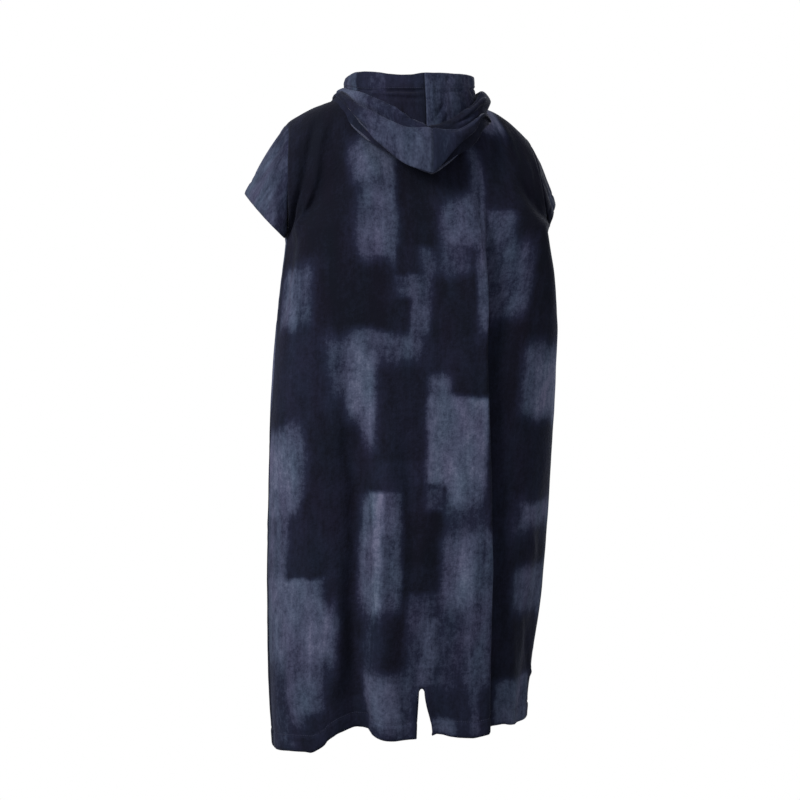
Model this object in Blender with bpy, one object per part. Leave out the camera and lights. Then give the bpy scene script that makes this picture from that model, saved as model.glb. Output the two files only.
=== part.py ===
"""Hooded bath poncho in printed cotton terry, worn, with its hood down.

Metres, +Z up. The wearer faces -Y and the origin lies between the shoulders, at the height where the
neckline meets the shoulder seams. +X is the wearer's left. Each cut piece is one closed wall of cloth.
"""

import math
from collections import namedtuple

import bpy
import numpy as np

NAME = "hooded_bath_poncho"

# Cloth
CLOTH = 0.0025  # wall of one layer of terry
HEM_CLOTH = 0.0040  # wall where the edge is turned in
SEAM_GAP = 0.0003  # between two pieces along a seam
HEM_WIDTH = 0.028  # turned hem of the body
CUFF_HEM = 0.025

# Neckline, an ellipse round the neck that dips behind and more in front
NECK_Y = -0.010
NECK_HALF = 0.085
NECK_BACK = 0.075
NECK_FRONT = 0.095
NECK_BACK_DIP = 0.015
NECK_FRONT_DIP = 0.060
HOOD_LIFT = 0.0004  # the hood's folded-back neck edge above the panels' neckline

# Shoulder seam, from the neckline out to the tip, and how far down the panels round over
SHOULDER_CURVE = 2.0
ROUNDING = 0.58  # share of the drop to the underarm in which the panel reaches its full depth

# Sleeves. hand is 1 on the wearer's left, whose shoulder is held a little higher. tip_x and tip_z are the shoulder
# seam's outer end, and the armhole bows backwards, forwards and out from there to the underarm. top is the cuff's
# highest point, low how far its lowest reaches from the underarm, and rear how far its rear lies from its middle.
Sleeve = namedtuple("Sleeve", "hand tip_x tip_z back front out top low rear")
SLEEVES = {
    sleeve.hand: sleeve
    for sleeve in (
        Sleeve(
            1, 0.226, -0.052, 0.085, 0.095, 0.012,
            top=(0.289, -0.085, -0.166), low=(0.014, -0.006, -0.011), rear=(0.004, 0.060, -0.006),
        ),
        Sleeve(
            -1, 0.217, -0.070, 0.072, 0.100, -0.010,
            top=(-0.292, -0.052, -0.173), low=(-0.013, -0.008, 0.006), rear=(0.011, 0.053, -0.005),
        ),
    )
}
UNDERARM_POINT = 1.5  # how far the armhole narrows towards the underarm, from 1 for an oval
UNDERARM_SAG = 0.020  # how far the threads that cross the body dip beside the underarm
UNDERARM_SPAN = 0.18  # share of the half ring over which they do
ARMHOLE_SHARE = 0.13  # share of the ring that an armhole takes off the panel
SLEEVE_ROUND = 0.003  # how far the sleeve's middle stands out from a straight line

# The body, a ring at each level. The half width and the depths are those of a squared ellipse, shift_x and
# shift_y move it, and the last columns lift its left, right and front above the middle of the back.
Level = namedtuple("Level", "name z half back front shift_x shift_y lift_left lift_right lift_front square")
LEVELS = (
    Level("shoulder", -0.060, 0.230, 0.104, 0.112, -0.006, 0.008, 0.000, 0.000, 0.000, 3.6),
    Level("chest", -0.150, 0.235, 0.116, 0.122, -0.008, 0.008, 0.000, 0.000, 0.000, 4.2),
    Level("underarm", -0.245, 0.238, 0.126, 0.130, -0.012, 0.008, 0.000, 0.018, 0.000, 3.8),
    Level("ribs", -0.345, 0.250, 0.136, 0.136, -0.0125, 0.009, 0.000, 0.009, 0.001, 3.1),
    Level("waist", -0.540, 0.257, 0.149, 0.143, -0.005, 0.006, -0.006, 0.003, 0.004, 2.5),
    Level("hips", -0.720, 0.256, 0.157, 0.148, 0.001, 0.000, -0.014, 0.006, 0.012, 2.3),
    Level("thighs", -0.900, 0.249, 0.160, 0.150, 0.0075, -0.006, -0.022, 0.010, 0.020, 2.2),
    Level("knees", -1.040, 0.237, 0.160, 0.150, 0.0145, -0.010, -0.029, 0.012, 0.028, 2.2),
    Level("hem", -1.124, 0.231, 0.159, 0.149, 0.015, -0.012, -0.031, 0.014, 0.036, 2.2),
)
UNDERARM = LEVELS[2]
HEM = LEVELS[-1]

# Deep lengthwise pleats. place is the share of the half ring from the wearer's left seam, at the top and at the
# hem. From start to full the cloth turns further back under itself, and lap is the hidden return at the hem.
Pleat = namedtuple("Pleat", "name side place_top place_hem start full turn lap bend")
PLEATS = (
    Pleat("back_right", 1, 0.618, 0.691, -0.10, -0.48, 165, 0.030, 0.017),
    Pleat("front_left", -1, 0.270, 0.250, -0.34, -0.90, 120, 0.018, 0.017),
)
PLEAT_SPREAD = 0.085  # how far beside a pleat the cloth stands out or in

# Soft lengthwise folds: place as above, where each starts and ends, half width, how far it stands out (or in,
# where negative) at its two ends, and how far it lifts the hem
Fold = namedtuple("Fold", "name side place_top place_hem start end width out_top out_hem lift")
FOLDS = (
    Fold("left_bulge", 1, 0.170, 0.150, -0.50, -1.25, 0.070, 0.000, 0.013, 0.000),
    Fold("left_trough", 1, 0.300, 0.330, -0.48, -1.25, 0.028, -0.006, -0.026, 0.022),
    Fold("left_ridge", 1, 0.385, 0.390, -0.55, -1.25, 0.028, 0.006, 0.007, 0.000),
    Fold("arm_left", 1, 0.130, 0.030, -0.08, -0.42, 0.026, -0.007, -0.004, 0.000),
    Fold("arm_right", 1, 0.860, 0.960, -0.08, -0.42, 0.032, -0.014, -0.005, 0.000),
    Fold("right_trough", 1, 0.880, 0.850, -0.62, -1.25, 0.030, -0.004, -0.012, 0.004),
    Fold("front_right_trough", -1, 0.640, 0.640, -0.40, -1.25, 0.034, -0.005, -0.022, 0.008),
    Fold("front_right_ridge", -1, 0.760, 0.760, -0.45, -1.25, 0.050, 0.004, 0.012, 0.000),
    Fold("front_middle_ridge", -1, 0.470, 0.450, -0.50, -1.25, 0.050, 0.003, 0.013, 0.000),
    Fold("front_arm_left", -1, 0.120, 0.040, -0.08, -0.40, 0.026, -0.008, -0.004, 0.000),
    Fold("front_arm_right", -1, 0.880, 0.960, -0.08, -0.40, 0.026, -0.008, -0.004, 0.000),
)

# Vent in the middle of the back hem
VENT_HEIGHT = 0.088
VENT_APEX = 0.0045  # half width at its rounded top
VENT_HEM = 0.0138  # half width at the hem
VENT_NECK = 0.009  # half width of the two columns above it, at the neckline
VENT_LEAN = 0.006  # how far it leans to the wearer's right at the hem

# How far the back hem rises above its level: across from the middle, and up, in mm
HEM_RISES = (
    (-343, 0), (-324, 1), (-280, 2), (-235, 2), (-200, -1), (-188, -4), (-180, -1), (-167, 5), (-160, 14), (-145, 19),
    (-130, 16), (-108, 11),
    (-92, 12), (-82, 5), (-68, 3), (-45, 1), (10, 2), (27, 9), (39, 7), (50, 3), (65, 0), (91, -3), (120, 0),
    (140, 8), (165, 8), (180, 3), (210, -5), (240, -5), (343, 0),
)
HEM_RISE_SPAN = 0.13

# Hood: one ring round the neck for each turn of its cloth, from the neck seam to the rim. point is how straight a
# V the ring makes behind, from 0 for a round dip to 1.
Ring = namedtuple("Ring", "name half back front z_side z_back z_front point")
HOOD_RINGS = (
    Ring("neck_seam", 0.085, 0.075, 0.095, 0.000, -0.015, -0.060, 0.0),
    Ring("under_top", 0.104, 0.113, 0.101, 0.005, -0.024, -0.058, 0.0),
    Ring("under_middle", 0.121, 0.139, 0.106, 0.001, -0.080, -0.056, 0.4),
    Ring("under_low", 0.132, 0.151, 0.110, -0.004, -0.128, -0.053, 0.8),
    Ring("tip", 0.141, 0.174, 0.113, -0.008, -0.152, -0.049, 1.0),
    Ring("flap", 0.144, 0.184, 0.115, -0.002, -0.118, -0.045, 0.9),
    Ring("flap_top", 0.141, 0.172, 0.115, 0.006, -0.076, -0.042, 0.5),
    Ring("tuck", 0.132, 0.157, 0.112, 0.003, -0.102, -0.040, 0.5),
    Ring("roll", 0.128, 0.149, 0.110, 0.012, -0.072, -0.038, 0.5),
    Ring("roll_top", 0.123, 0.143, 0.108, 0.017, -0.060, -0.036, 0.5),
    Ring("collar", 0.117, 0.134, 0.106, 0.019, -0.040, -0.035, 0.4),
    Ring("rim_stitch", 0.116, 0.126, 0.104, 0.025, 0.004, -0.034, 0.0),
    Ring("rim", 0.115, 0.116, 0.101, 0.042, 0.032, -0.031, 0.0),
)
HOOD_FRONT_FALL = 2.6  # how late the hood's rings drop from the shoulders to the front

# How finely each piece is divided
YOKE_ROWS = 7  # from the shoulder to the underarm
BODY_ROWS = 13  # from the underarm to the stitched line of the hem
BACK_COLUMNS = (16, 1, 1, 7, 3, 2, 3, 8)  # up to the vent, its two halves, up to the pleat, the pleat, the rest
FRONT_COLUMNS = (6, 2, 1, 2, 6, 12)  # up to the pleat, the pleat, up to the middle, the rest
SHOULDER_COLUMNS = {1: (10, 18), -1: (11, 7)}  # of the back and the front, those on the left and the right seam
SLEEVE_RINGS = 4
FINE = 1200  # points along a ring when its length is measured


def smooth(t):
    """0 to 1 with level ends."""
    t = np.clip(t, 0.0, 1.0)
    return t * t * (3.0 - 2.0 * t)


def level_at(z):
    """The body's ring at a height, blended smoothly between the table's levels."""
    heights = np.array([level.z for level in LEVELS])[::-1]
    columns = {"z": z}
    for column in Level._fields[2:]:
        values = np.array([getattr(level, column) for level in LEVELS])[::-1]
        slopes = np.gradient(values, heights)
        k = int(np.clip(np.searchsorted(heights, z) - 1, 0, len(heights) - 2))
        step = heights[k + 1] - heights[k]
        t = (z - heights[k]) / step
        columns[column] = (
            (2 * t**3 - 3 * t**2 + 1) * values[k]
            + (t**3 - 2 * t**2 + t) * step * slopes[k]
            + (3 * t**2 - 2 * t**3) * values[k + 1]
            + (t**3 - t**2) * step * slopes[k + 1]
        )
    return Level("between", **columns)


def half_ring(level, side):
    """Fine points of the ring's back half (side 1) or front half (side -1), and the length up to each."""
    angle = np.linspace(0.0, math.pi, FINE)
    power = 2.0 / level.square
    depth = level.back if side > 0 else level.front
    cos = np.cos(angle)
    x = level.shift_x + level.half * np.sign(cos) * np.abs(cos) ** power
    y = level.shift_y + side * depth * np.sin(angle).clip(0.0) ** power
    length = np.concatenate([[0.0], np.cumsum(np.hypot(np.diff(x), np.diff(y)))])
    return x, y, length


def on_ring(level, side, share, out):
    """Points at shares of the half ring's length, moved outwards."""
    x, y, length = half_ring(level, side)
    along = share * length[-1]
    step = 0.004
    ahead = np.clip(along + step, 0.0, length[-1])
    behind = np.clip(along - step, 0.0, length[-1])
    tangent_x = np.interp(ahead, length, x) - np.interp(behind, length, x)
    tangent_y = np.interp(ahead, length, y) - np.interp(behind, length, y)
    size = np.hypot(tangent_x, tangent_y)
    px = np.interp(along, length, x) + out * side * tangent_y / size
    py = np.interp(along, length, y) - out * side * tangent_x / size
    return px, py


def cloth_row(level, side, columns):
    """Where each thread of a panel crosses a level: its share of the half ring, and how far out the pleats put it.

    The cloth's heading turns from 0 to the pleat's angle and back, and its two sums give the pleat's shape."""
    _, _, length = half_ring(level, side)
    ring = length[-1]
    pleats = [p for p in PLEATS if p.side == side]
    turns = []
    for p in pleats:
        down = (level.z - UNDERARM.z) / (HEM.z - UNDERARM.z)
        place = p.place_top + (p.place_hem - p.place_top) * np.clip(down, 0.0, 1.0)
        close = float(smooth((level.z - p.start) / (p.full - p.start)))
        lap = 0.25 * p.lap + 0.75 * p.lap * float(smooth((level.z - p.start) / (HEM.z - p.start)))
        marks = np.cumsum([place * ring, p.bend, lap, p.bend])
        turns.append((marks, math.radians(p.turn) * close))
    total = ring
    for marks, turn in turns:
        fine = np.linspace(marks[0], marks[-1], FINE)
        heading = turn * np.interp(fine, marks, [0.0, 1.0, 1.0, 0.0])
        total += (marks[-1] - marks[0]) * (1.0 - np.cos(heading)).mean()
    marks, turn = turns[0]
    extra = total - ring
    if side > 0:
        up = (level.z - HEM.z) / VENT_HEIGHT
        centre, half = 0.5 * ring + VENT_LEAN * float(smooth(1.0 - up)), vent_half(level.z)
        stations = [0.0, centre - half, centre, centre + half, *marks, total]
    else:
        stations = [0.0, *marks, 0.5 * ring + extra, total]
    s = np.interp(np.arange(sum(columns) + 1), np.cumsum([0, *columns]), stations)
    fine = np.linspace(0.0, total, 4 * FINE)
    heading = turn * np.interp(fine, marks, [0.0, 1.0, 1.0, 0.0], left=0.0, right=0.0)
    step = fine[1] - fine[0]
    across = np.cumsum(np.cos(heading)) * step
    across -= across[0]
    across *= ring / across[-1]
    drop = np.cumsum(np.sin(heading)) * step
    raised = 0.5 * drop[-1]
    before = smooth(1.0 - (marks[0] - fine) / PLEAT_SPREAD)
    after = smooth(1.0 - (fine - marks[-1]) / PLEAT_SPREAD)
    out = raised * np.minimum(before, 1.0) - drop
    out = np.where(fine > marks[-1], -raised * after, out)
    share = np.interp(s, fine, across) / ring
    return np.clip(share, 0.0, 1.0), np.interp(s, fine, out)


def vent_half(z):
    """Half width of the two middle columns of the back: the vent's below its top, and a narrow strip above it."""
    up = (z - HEM.z) / VENT_HEIGHT
    if up < 1.0:
        return VENT_HEM + (VENT_APEX - VENT_HEM) * float(smooth(up))
    above = (z - HEM.z - VENT_HEIGHT) / (0.0 - HEM.z - VENT_HEIGHT)
    return VENT_APEX + (VENT_NECK - VENT_APEX) * above


def fold_moves(side, share, z, ring):
    """How far the soft folds move the cloth out at a level, and how far they lift it."""
    out = np.zeros_like(share)
    lift = np.zeros_like(share)
    edge = smooth(share * ring / 0.04) * smooth((1.0 - share) * ring / 0.04)
    for f in FOLDS:
        if f.side != side or not f.end < z < f.start:
            continue
        down = (f.start - z) / (f.start - f.end)
        place = f.place_top + (f.place_hem - f.place_top) * down
        height = f.out_top + (f.out_hem - f.out_top) * down
        fade = smooth(down / 0.25) * smooth((1.0 - down) / 0.12)
        bump = np.exp(-(((share - place) * ring / f.width) ** 2))
        out += height * fade * bump
        lift += f.lift * down**2 * bump
    return out * edge, lift * edge


def side_lift(level, x):
    """How far the cloth is lifted at the sides of a level."""
    across = (x - level.shift_x) / level.half
    return np.where(across > 0.0, level.lift_left, level.lift_right) * across**2


def body_row(side, z, columns):
    """One row of a panel at or below the underarm."""
    level = level_at(z)
    share, pleat_out = cloth_row(level, side, columns)
    ring = half_ring(level, side)[2][-1]
    folds, lift = fold_moves(side, share, z, ring)
    x, y = on_ring(level, side, share, pleat_out + folds)
    flat_x, flat_y = on_ring(level, side, share, 0.0)
    lift = lift + side_lift(level, flat_x)
    if side < 0:
        lift = lift + level.lift_front * ((flat_y - level.shift_y) / level.front) ** 2
    else:
        rise = 0.001 * np.interp(1000.0 * (share - 0.5) * ring, *zip(*HEM_RISES))
        inside = smooth(np.minimum(share, 1.0 - share) * ring / 0.03)
        lift = lift + rise * inside * float(smooth(1.0 - (z - HEM.z) / HEM_RISE_SPAN))
    near = np.minimum(1.0, np.minimum(share, 1.0 - share) / UNDERARM_SPAN)
    lift = lift - UNDERARM_SAG * 6.75 * near * (1.0 - near) ** 2 * float(smooth(1.0 - (UNDERARM.z - z) / 0.25))
    return np.stack([x, y, z + lift], axis=-1)


def armhole(hand, turn):
    """A point on the armhole. hand is 1 on the wearer's left; turn runs from 0 at the top, back, to 2 pi."""
    arm = SLEEVES[hand]
    lift = UNDERARM.lift_left if hand > 0 else UNDERARM.lift_right
    low = np.array([UNDERARM.shift_x + hand * UNDERARM.half, UNDERARM.shift_y, UNDERARM.z + lift])
    top = np.array([hand * arm.tip_x, 0.0, arm.tip_z])
    bow = arm.back if math.sin(turn) > 0.0 else -arm.front
    round_off = 1.0 if math.cos(turn) > 0.0 else UNDERARM_POINT
    point = 0.5 * (top + low) + 0.5 * (top - low) * math.cos(turn)
    return point + np.array([hand * arm.out * math.sin(turn) ** 2, bow * abs(math.sin(turn)) ** round_off, 0.0])


def neckline(side, turn):
    """Points on the neckline, turn running from 0 at the wearer's left to pi at the right."""
    depth = NECK_BACK if side > 0 else NECK_FRONT
    dip = NECK_BACK_DIP if side > 0 else NECK_FRONT_DIP
    sine = np.sin(turn)
    return np.stack([NECK_HALF * np.cos(turn), NECK_Y + side * depth * sine, -dip * sine**2], axis=-1)


def neck_turns(side, columns):
    """The neckline's turn at each thread between the shoulder seams, with the middle thread at a quarter turn."""
    share, _ = cloth_row(UNDERARM, side, columns)
    first, last = SHOULDER_COLUMNS[side][0], len(share) - 1 - SHOULDER_COLUMNS[side][1]
    middle = middle_thread(side)
    left = (share[first : middle + 1] - share[first]) / (share[middle] - share[first])
    right = (share[middle : last + 1] - share[middle]) / (share[last] - share[middle])
    return 0.5 * math.pi * np.concatenate([left, 1.0 + right[1:]])


def middle_thread(side):
    return sum(BACK_COLUMNS[:2]) if side > 0 else sum(FRONT_COLUMNS[:5])


def shoulder_seam(hand, out):
    """Points on a shoulder seam, out running from 0 at the neckline to 1 at the tip."""
    x = NECK_HALF + (SLEEVES[hand].tip_x - NECK_HALF) * out
    return np.stack([hand * x, NECK_Y * (1.0 - out), SLEEVES[hand].tip_z * out**SHOULDER_CURVE], axis=-1)


def top_row(side, columns):
    """The panel's top edge: left shoulder seam, neckline, right shoulder seam."""
    share, _ = cloth_row(UNDERARM, side, columns)
    first, last = SHOULDER_COLUMNS[side][0], len(share) - 1 - SHOULDER_COLUMNS[side][1]
    left = shoulder_seam(1, 1.0 - share[:first] / share[first])
    right = shoulder_seam(-1, (share[last + 1 :] - share[last]) / (1.0 - share[last]))
    return np.concatenate([left, neckline(side, neck_turns(side, columns)), right])


def yoke_row(side, t, columns):
    """One row between the shoulder (t = 0) and the underarm (t = 1), ending on the armholes."""
    top = top_row(side, columns)
    cut = ARMHOLE_SHARE * math.sin(math.pi * t)
    down = 1.0 - math.cos(0.5 * math.pi * t)
    level = level_at(UNDERARM.z * max(down, LEVELS[0].z / UNDERARM.z))
    share, pleat_out = cloth_row(level, side, columns)
    x, y = on_ring(level, side, cut + (1.0 - 2.0 * cut) * share, 0.0)
    round_over = math.sqrt(1.0 - (1.0 - min(1.0, down / ROUNDING)) ** 2)
    across = float(smooth(down))
    row = np.stack(
        [
            top[:, 0] + (x - top[:, 0]) * across,
            top[:, 1] + (y - top[:, 1]) * round_over,
            top[:, 2] + (UNDERARM.z - top[:, 2]) * down,
        ],
        axis=-1,
    )
    row[:, 2] += side_lift(level, x)
    ring = half_ring(level, side)[2][-1]
    folds, _ = fold_moves(side, share, row[:, 2].mean(), ring)
    row[:, 1] += side * (pleat_out + folds) * float(smooth((down - 0.1) / 0.5))
    turn = math.pi * t
    for hand, end, near in ((1, 0, share), (-1, -1, 1.0 - share)):
        edge = armhole(hand, turn if side > 0 else 2.0 * math.pi - turn)
        row += np.outer(smooth(1.0 - near / 0.30), edge - row[end])
    return row


def panel(side, columns):
    """The grid of a panel: rows from the shoulder down to the hem, threads from the wearer's left to the right."""
    rows = [yoke_row(side, k / YOKE_ROWS, columns) for k in range(YOKE_ROWS)]
    heights = list(np.linspace(UNDERARM.z, HEM.z + HEM_WIDTH + 0.004, BODY_ROWS + 1))
    heights[vent_row() - YOKE_ROWS] = HEM.z + VENT_HEIGHT
    heights += [HEM.z + HEM_WIDTH, HEM.z]
    rows += [body_row(side, z, columns) for z in heights]
    return np.array(rows)


def vent_row():
    """The panels' row nearest the vent's top, which panel() moves to it."""
    step = (UNDERARM.z - HEM.z - HEM_WIDTH) / BODY_ROWS
    return YOKE_ROWS + round((UNDERARM.z - HEM.z - VENT_HEIGHT) / step)


def sleeve(hand):
    """The grid of a sleeve: rings from the armhole to the cuff, each from its top round the back."""
    quarter = np.linspace(0.0, math.pi, YOKE_ROWS + 1)
    turns = np.concatenate([quarter, 2.0 * math.pi - quarter[-2:0:-1]])
    arm = SLEEVES[hand]
    top, low, rear = np.array(arm.top), armhole(hand, math.pi) + arm.low, np.array(arm.rear)
    start = np.array([armhole(hand, turn) for turn in turns])
    end = 0.5 * (top + low) + 0.5 * np.outer(np.cos(turns), top - low) + np.outer(np.sin(turns), rear)
    away = 0.5 * (start + end) - 0.5 * (start + end).mean(axis=0)
    away /= np.linalg.norm(away, axis=1)[:, None]
    hem = 1.0 - CUFF_HEM / 0.11
    shares = [*np.linspace(0.0, hem - 0.03, SLEEVE_RINGS), hem, 1.0]
    rings = [start + (end - start) * k + away * SLEEVE_ROUND * math.sin(math.pi * k) for k in shares]
    return np.array(rings)


def hood(hand):
    """The grid of a half hood: rings from the neck seam to the rim, each from the centre seam to the front."""
    behind = neck_turns(1, BACK_COLUMNS)
    ahead = neck_turns(-1, FRONT_COLUMNS)
    if hand > 0:
        behind, ahead = behind[behind <= 0.5 * math.pi + 1e-9][::-1], ahead[ahead <= 0.5 * math.pi + 1e-9]
    else:
        behind, ahead = behind[behind >= 0.5 * math.pi - 1e-9], ahead[ahead >= 0.5 * math.pi - 1e-9][::-1]
    turns = np.concatenate([behind, -ahead[1:]])
    cos, sin = np.cos(turns), np.sin(turns)
    rows = []
    for ring in HOOD_RINGS:
        back = sin > 0.0
        v = (1.0 - ring.point) * sin**2 + ring.point * (1.0 - np.abs(cos))
        front = np.abs(sin) ** (2.0 if ring.name == "neck_seam" else HOOD_FRONT_FALL)
        z = ring.z_side + np.where(back, (ring.z_back - ring.z_side) * v, (ring.z_front - ring.z_side) * front)
        y = NECK_Y + np.where(back, ring.back, ring.front) * sin
        rows.append(np.stack([ring.half * cos, y, z + HOOD_LIFT], axis=-1))
    return np.array(rows)


def heading(grid, axis, closed):
    """The way the cloth runs along one axis of a grid, halfway between the ways on either side of each point."""
    ahead = np.roll(grid, -1, axis=axis) - grid
    ahead /= np.linalg.norm(ahead, axis=2)[..., None]
    behind = np.roll(ahead, 1, axis=axis)
    if not closed:
        first, last = np.moveaxis(behind, axis, 0), np.moveaxis(ahead, axis, 0)
        first[0] = last[0]
        last[-1] = first[-1]
    return ahead + behind


def grid_normals(grid, outward, closed):
    """The cloth's normal at each point of a grid, facing out of the garment."""
    normal = outward * np.cross(heading(grid, 0, False), heading(grid, 1, closed))
    return normal / np.linalg.norm(normal, axis=2)[..., None]


def place(point):
    """A key that points lying together share. The small shift keeps round sizes off the rounding's own steps."""
    return tuple(np.round(point + 3.7e-6, 5) + 0.0)


def unit(vector):
    return vector / np.linalg.norm(vector)


def join_normals(pieces):
    """Gives the pieces one shared normal wherever their edges meet, so that their seams fit face to face."""
    shared = {}
    for piece in pieces:
        for j, i in piece.edge_points():
            sums = shared.setdefault(place(piece.grid[j, i]), {})
            sums[piece.closed] = sums.get(piece.closed, 0.0) + piece.normals[j, i]
    for piece in pieces:
        for j, i in piece.edge_points():
            point = piece.grid[j, i]
            normal = sum(unit(total) for total in shared[place(point)].values())
            if j == 0 and abs(point[0]) > NECK_HALF - 1e-6 and NECK_Y - 1e-6 < point[1] < 1e-6:
                normal[1] = 0.0  # the shoulder seam's edges stand upright
            piece.normals[j, i] = unit(normal)


class Piece:
    """A cut piece: the grid of its outer face, what cells are cut away, and how thick its cloth is at each row."""

    def __init__(self, name, grid, outward, seams, closed=False, cut=None, thickness=None):
        self.name = name
        self.grid = grid
        self.closed = closed
        self.seams = seams  # which of "first_row", "last_row", "first_column" and "last_column" are sewn
        self.cut = cut or (lambda row, column: False)
        self.normals = grid_normals(grid, outward, closed)
        self.outward = outward
        rows = grid.shape[0]
        self.thickness = np.full(rows, CLOTH) if thickness is None else np.asarray(thickness)

    def edge_points(self):
        rows, columns = self.grid.shape[:2]
        for j in range(rows):
            for i in range(columns):
                if j in (0, rows - 1) or not self.closed and i in (0, columns - 1):
                    yield j, i

    def inset(self):
        """The grid with its sewn edges moved in by half the seam's gap, square to the edge."""
        moved = self.grid.copy()
        edges = {
            "first_row": (0, slice(None), 1, slice(None)),
            "last_row": (-1, slice(None), -2, slice(None)),
            "first_column": (slice(None), 0, slice(None), 1),
            "last_column": (slice(None), -1, slice(None), -2),
        }
        for seam in self.seams:
            row, column, next_row, next_column = edges[seam]
            edge = self.grid[row, column]
            inside = self.grid[next_row, next_column]
            if self.closed:
                along = np.roll(edge, -1, axis=0) - np.roll(edge, 1, axis=0)
            else:
                along = np.gradient(edge, axis=0)
            into = np.cross(self.normals[row, column], along)
            into /= np.linalg.norm(into, axis=1)[:, None]
            into *= np.sign(((inside - edge) * into).sum(axis=1))[:, None]
            moved[row, column] += 0.5 * SEAM_GAP * into
        return moved

    def build(self, material, collection):
        """One closed wall: the outer face, the inner face and a rim along every edge."""
        outer = self.inset()
        inner = outer - self.normals * self.thickness[:, None, None]
        rows, columns = outer.shape[:2]
        wide = columns if self.closed else columns - 1
        quads = []
        for j in range(rows - 1):
            for i in range(wide):
                if not self.cut(j, i):
                    k = (i + 1) % columns
                    quads.append((j * columns + i, j * columns + k, (j + 1) * columns + k, (j + 1) * columns + i))
        if self.outward > 0:
            quads = [quad[::-1] for quad in quads]
        borders = [(a, b) for quad in quads for a, b in zip(quad, quad[1:] + quad[:1])]
        known = set(borders)
        borders = [(a, b) for a, b in borders if (b, a) not in known]
        size = rows * columns
        points = outer.reshape(-1, 3)
        faces = []
        for a, b, c, d in quads:
            # Both walls are split along the outer one's shorter diagonal.
            if np.linalg.norm(points[a] - points[c]) > np.linalg.norm(points[b] - points[d]):
                a, b, c, d = b, c, d, a
            faces += [(a, b, c), (a, c, d), (c + size, b + size, a + size), (d + size, c + size, a + size)]
        for a, b in borders:
            # Both sides of a seam split their rims along the same diagonal.
            if place(self.grid.reshape(-1, 3)[a]) < place(self.grid.reshape(-1, 3)[b]):
                faces += [(b, a, b + size), (a, a + size, b + size)]
            else:
                faces += [(b, a, a + size), (b, a + size, b + size)]
        used = sorted({p for face in faces for p in face})
        renumber = {p: n for n, p in enumerate(used)}
        points = np.concatenate([outer.reshape(-1, 3), inner.reshape(-1, 3)])[used]
        mesh = bpy.data.meshes.new(self.name)
        mesh.from_pydata(points.tolist(), [], [[renumber[p] for p in face] for face in faces])
        mesh.shade_smooth()
        mesh.set_sharp_from_angle(angle=math.radians(50.0))
        mesh.materials.append(material)
        mesh.update()
        collection.objects.link(bpy.data.objects.new(self.name, mesh))


def terry(name, colour):
    material = bpy.data.materials.new(name)
    material.use_nodes = True
    shader = material.node_tree.nodes["Principled BSDF"]
    shader.inputs["Base Color"].default_value = (*colour, 1.0)
    shader.inputs["Roughness"].default_value = 0.95
    shader.inputs["Metallic"].default_value = 0.0
    return material


def main():
    for item in list(bpy.data.objects):
        bpy.data.objects.remove(item)
    collection = bpy.data.collections.new(NAME)
    bpy.context.scene.collection.children.link(collection)

    back = panel(1, BACK_COLUMNS)
    front = panel(-1, FRONT_COLUMNS)
    hems = np.full(len(back), CLOTH)
    hems[-2:] = HEM_CLOTH
    vent = range(BACK_COLUMNS[0], sum(BACK_COLUMNS[:3]))
    rims = np.full(len(HOOD_RINGS), CLOTH)
    rims[-2:] = HEM_CLOTH
    cuffs = np.full(SLEEVE_RINGS + 2, CLOTH)
    cuffs[-2:] = HEM_CLOTH

    sides = ("first_row", "first_column", "last_column")
    pieces = [
        Piece("back_panel", back, 1, sides, False, lambda j, i: j >= vent_row() and i in vent, hems),
        Piece("front_panel", front, -1, sides, False, None, hems),
        Piece("sleeve_left", sleeve(1), 1, ("first_row",), True, None, cuffs),
        Piece("sleeve_right", sleeve(-1), -1, ("first_row",), True, None, cuffs),
        Piece("hood_left", hood(1), 1, ("first_column", "last_column"), False, None, rims),
        Piece("hood_right", hood(-1), -1, ("first_column", "last_column"), False, None, rims),
    ]
    join_normals(pieces)
    for piece in pieces:
        colour = (0.030, 0.034, 0.060) if piece.name.endswith("panel") else (0.055, 0.060, 0.095)
        piece.build(terry(piece.name + "_terry", colour), collection)


main()
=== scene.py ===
"""Hooded bath poncho in printed cotton terry: its draped cloth, print, turned hems, seams and stitching."""

import math
from collections import namedtuple

import bmesh
import bpy
import numpy as np
from mathutils import Matrix, Vector


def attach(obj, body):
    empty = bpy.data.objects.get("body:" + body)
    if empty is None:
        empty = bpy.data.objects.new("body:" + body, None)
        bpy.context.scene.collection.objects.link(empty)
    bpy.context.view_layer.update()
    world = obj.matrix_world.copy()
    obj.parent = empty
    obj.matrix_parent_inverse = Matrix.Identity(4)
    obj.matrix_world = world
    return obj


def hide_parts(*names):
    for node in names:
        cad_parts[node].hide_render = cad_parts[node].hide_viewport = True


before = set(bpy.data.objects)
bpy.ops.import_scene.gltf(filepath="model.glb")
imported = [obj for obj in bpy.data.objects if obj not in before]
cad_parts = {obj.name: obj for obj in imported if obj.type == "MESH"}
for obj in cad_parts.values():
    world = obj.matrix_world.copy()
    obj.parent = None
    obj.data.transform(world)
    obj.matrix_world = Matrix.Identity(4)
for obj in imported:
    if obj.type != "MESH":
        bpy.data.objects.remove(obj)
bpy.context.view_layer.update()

# ---- sizes, in metres

CLOTH = 0.0025
HEM_CLOTH = 0.0040
HEM_WIDTH = 0.028
CUFF_HEM = 0.025
RIM_HEM = 0.030
STITCH_PITCH = 0.0036
STITCH = (0.00125, 0.00042, 0.00042)  # half its length, width and height
STITCH_LIFT = 0.0001  # its middle above the cloth
SEAM_CALM = 0.02  # creases fade out over this stretch beside a seam
EDGE_ROUND = 0.0032  # how far in from a finished edge its rounding starts

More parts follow.
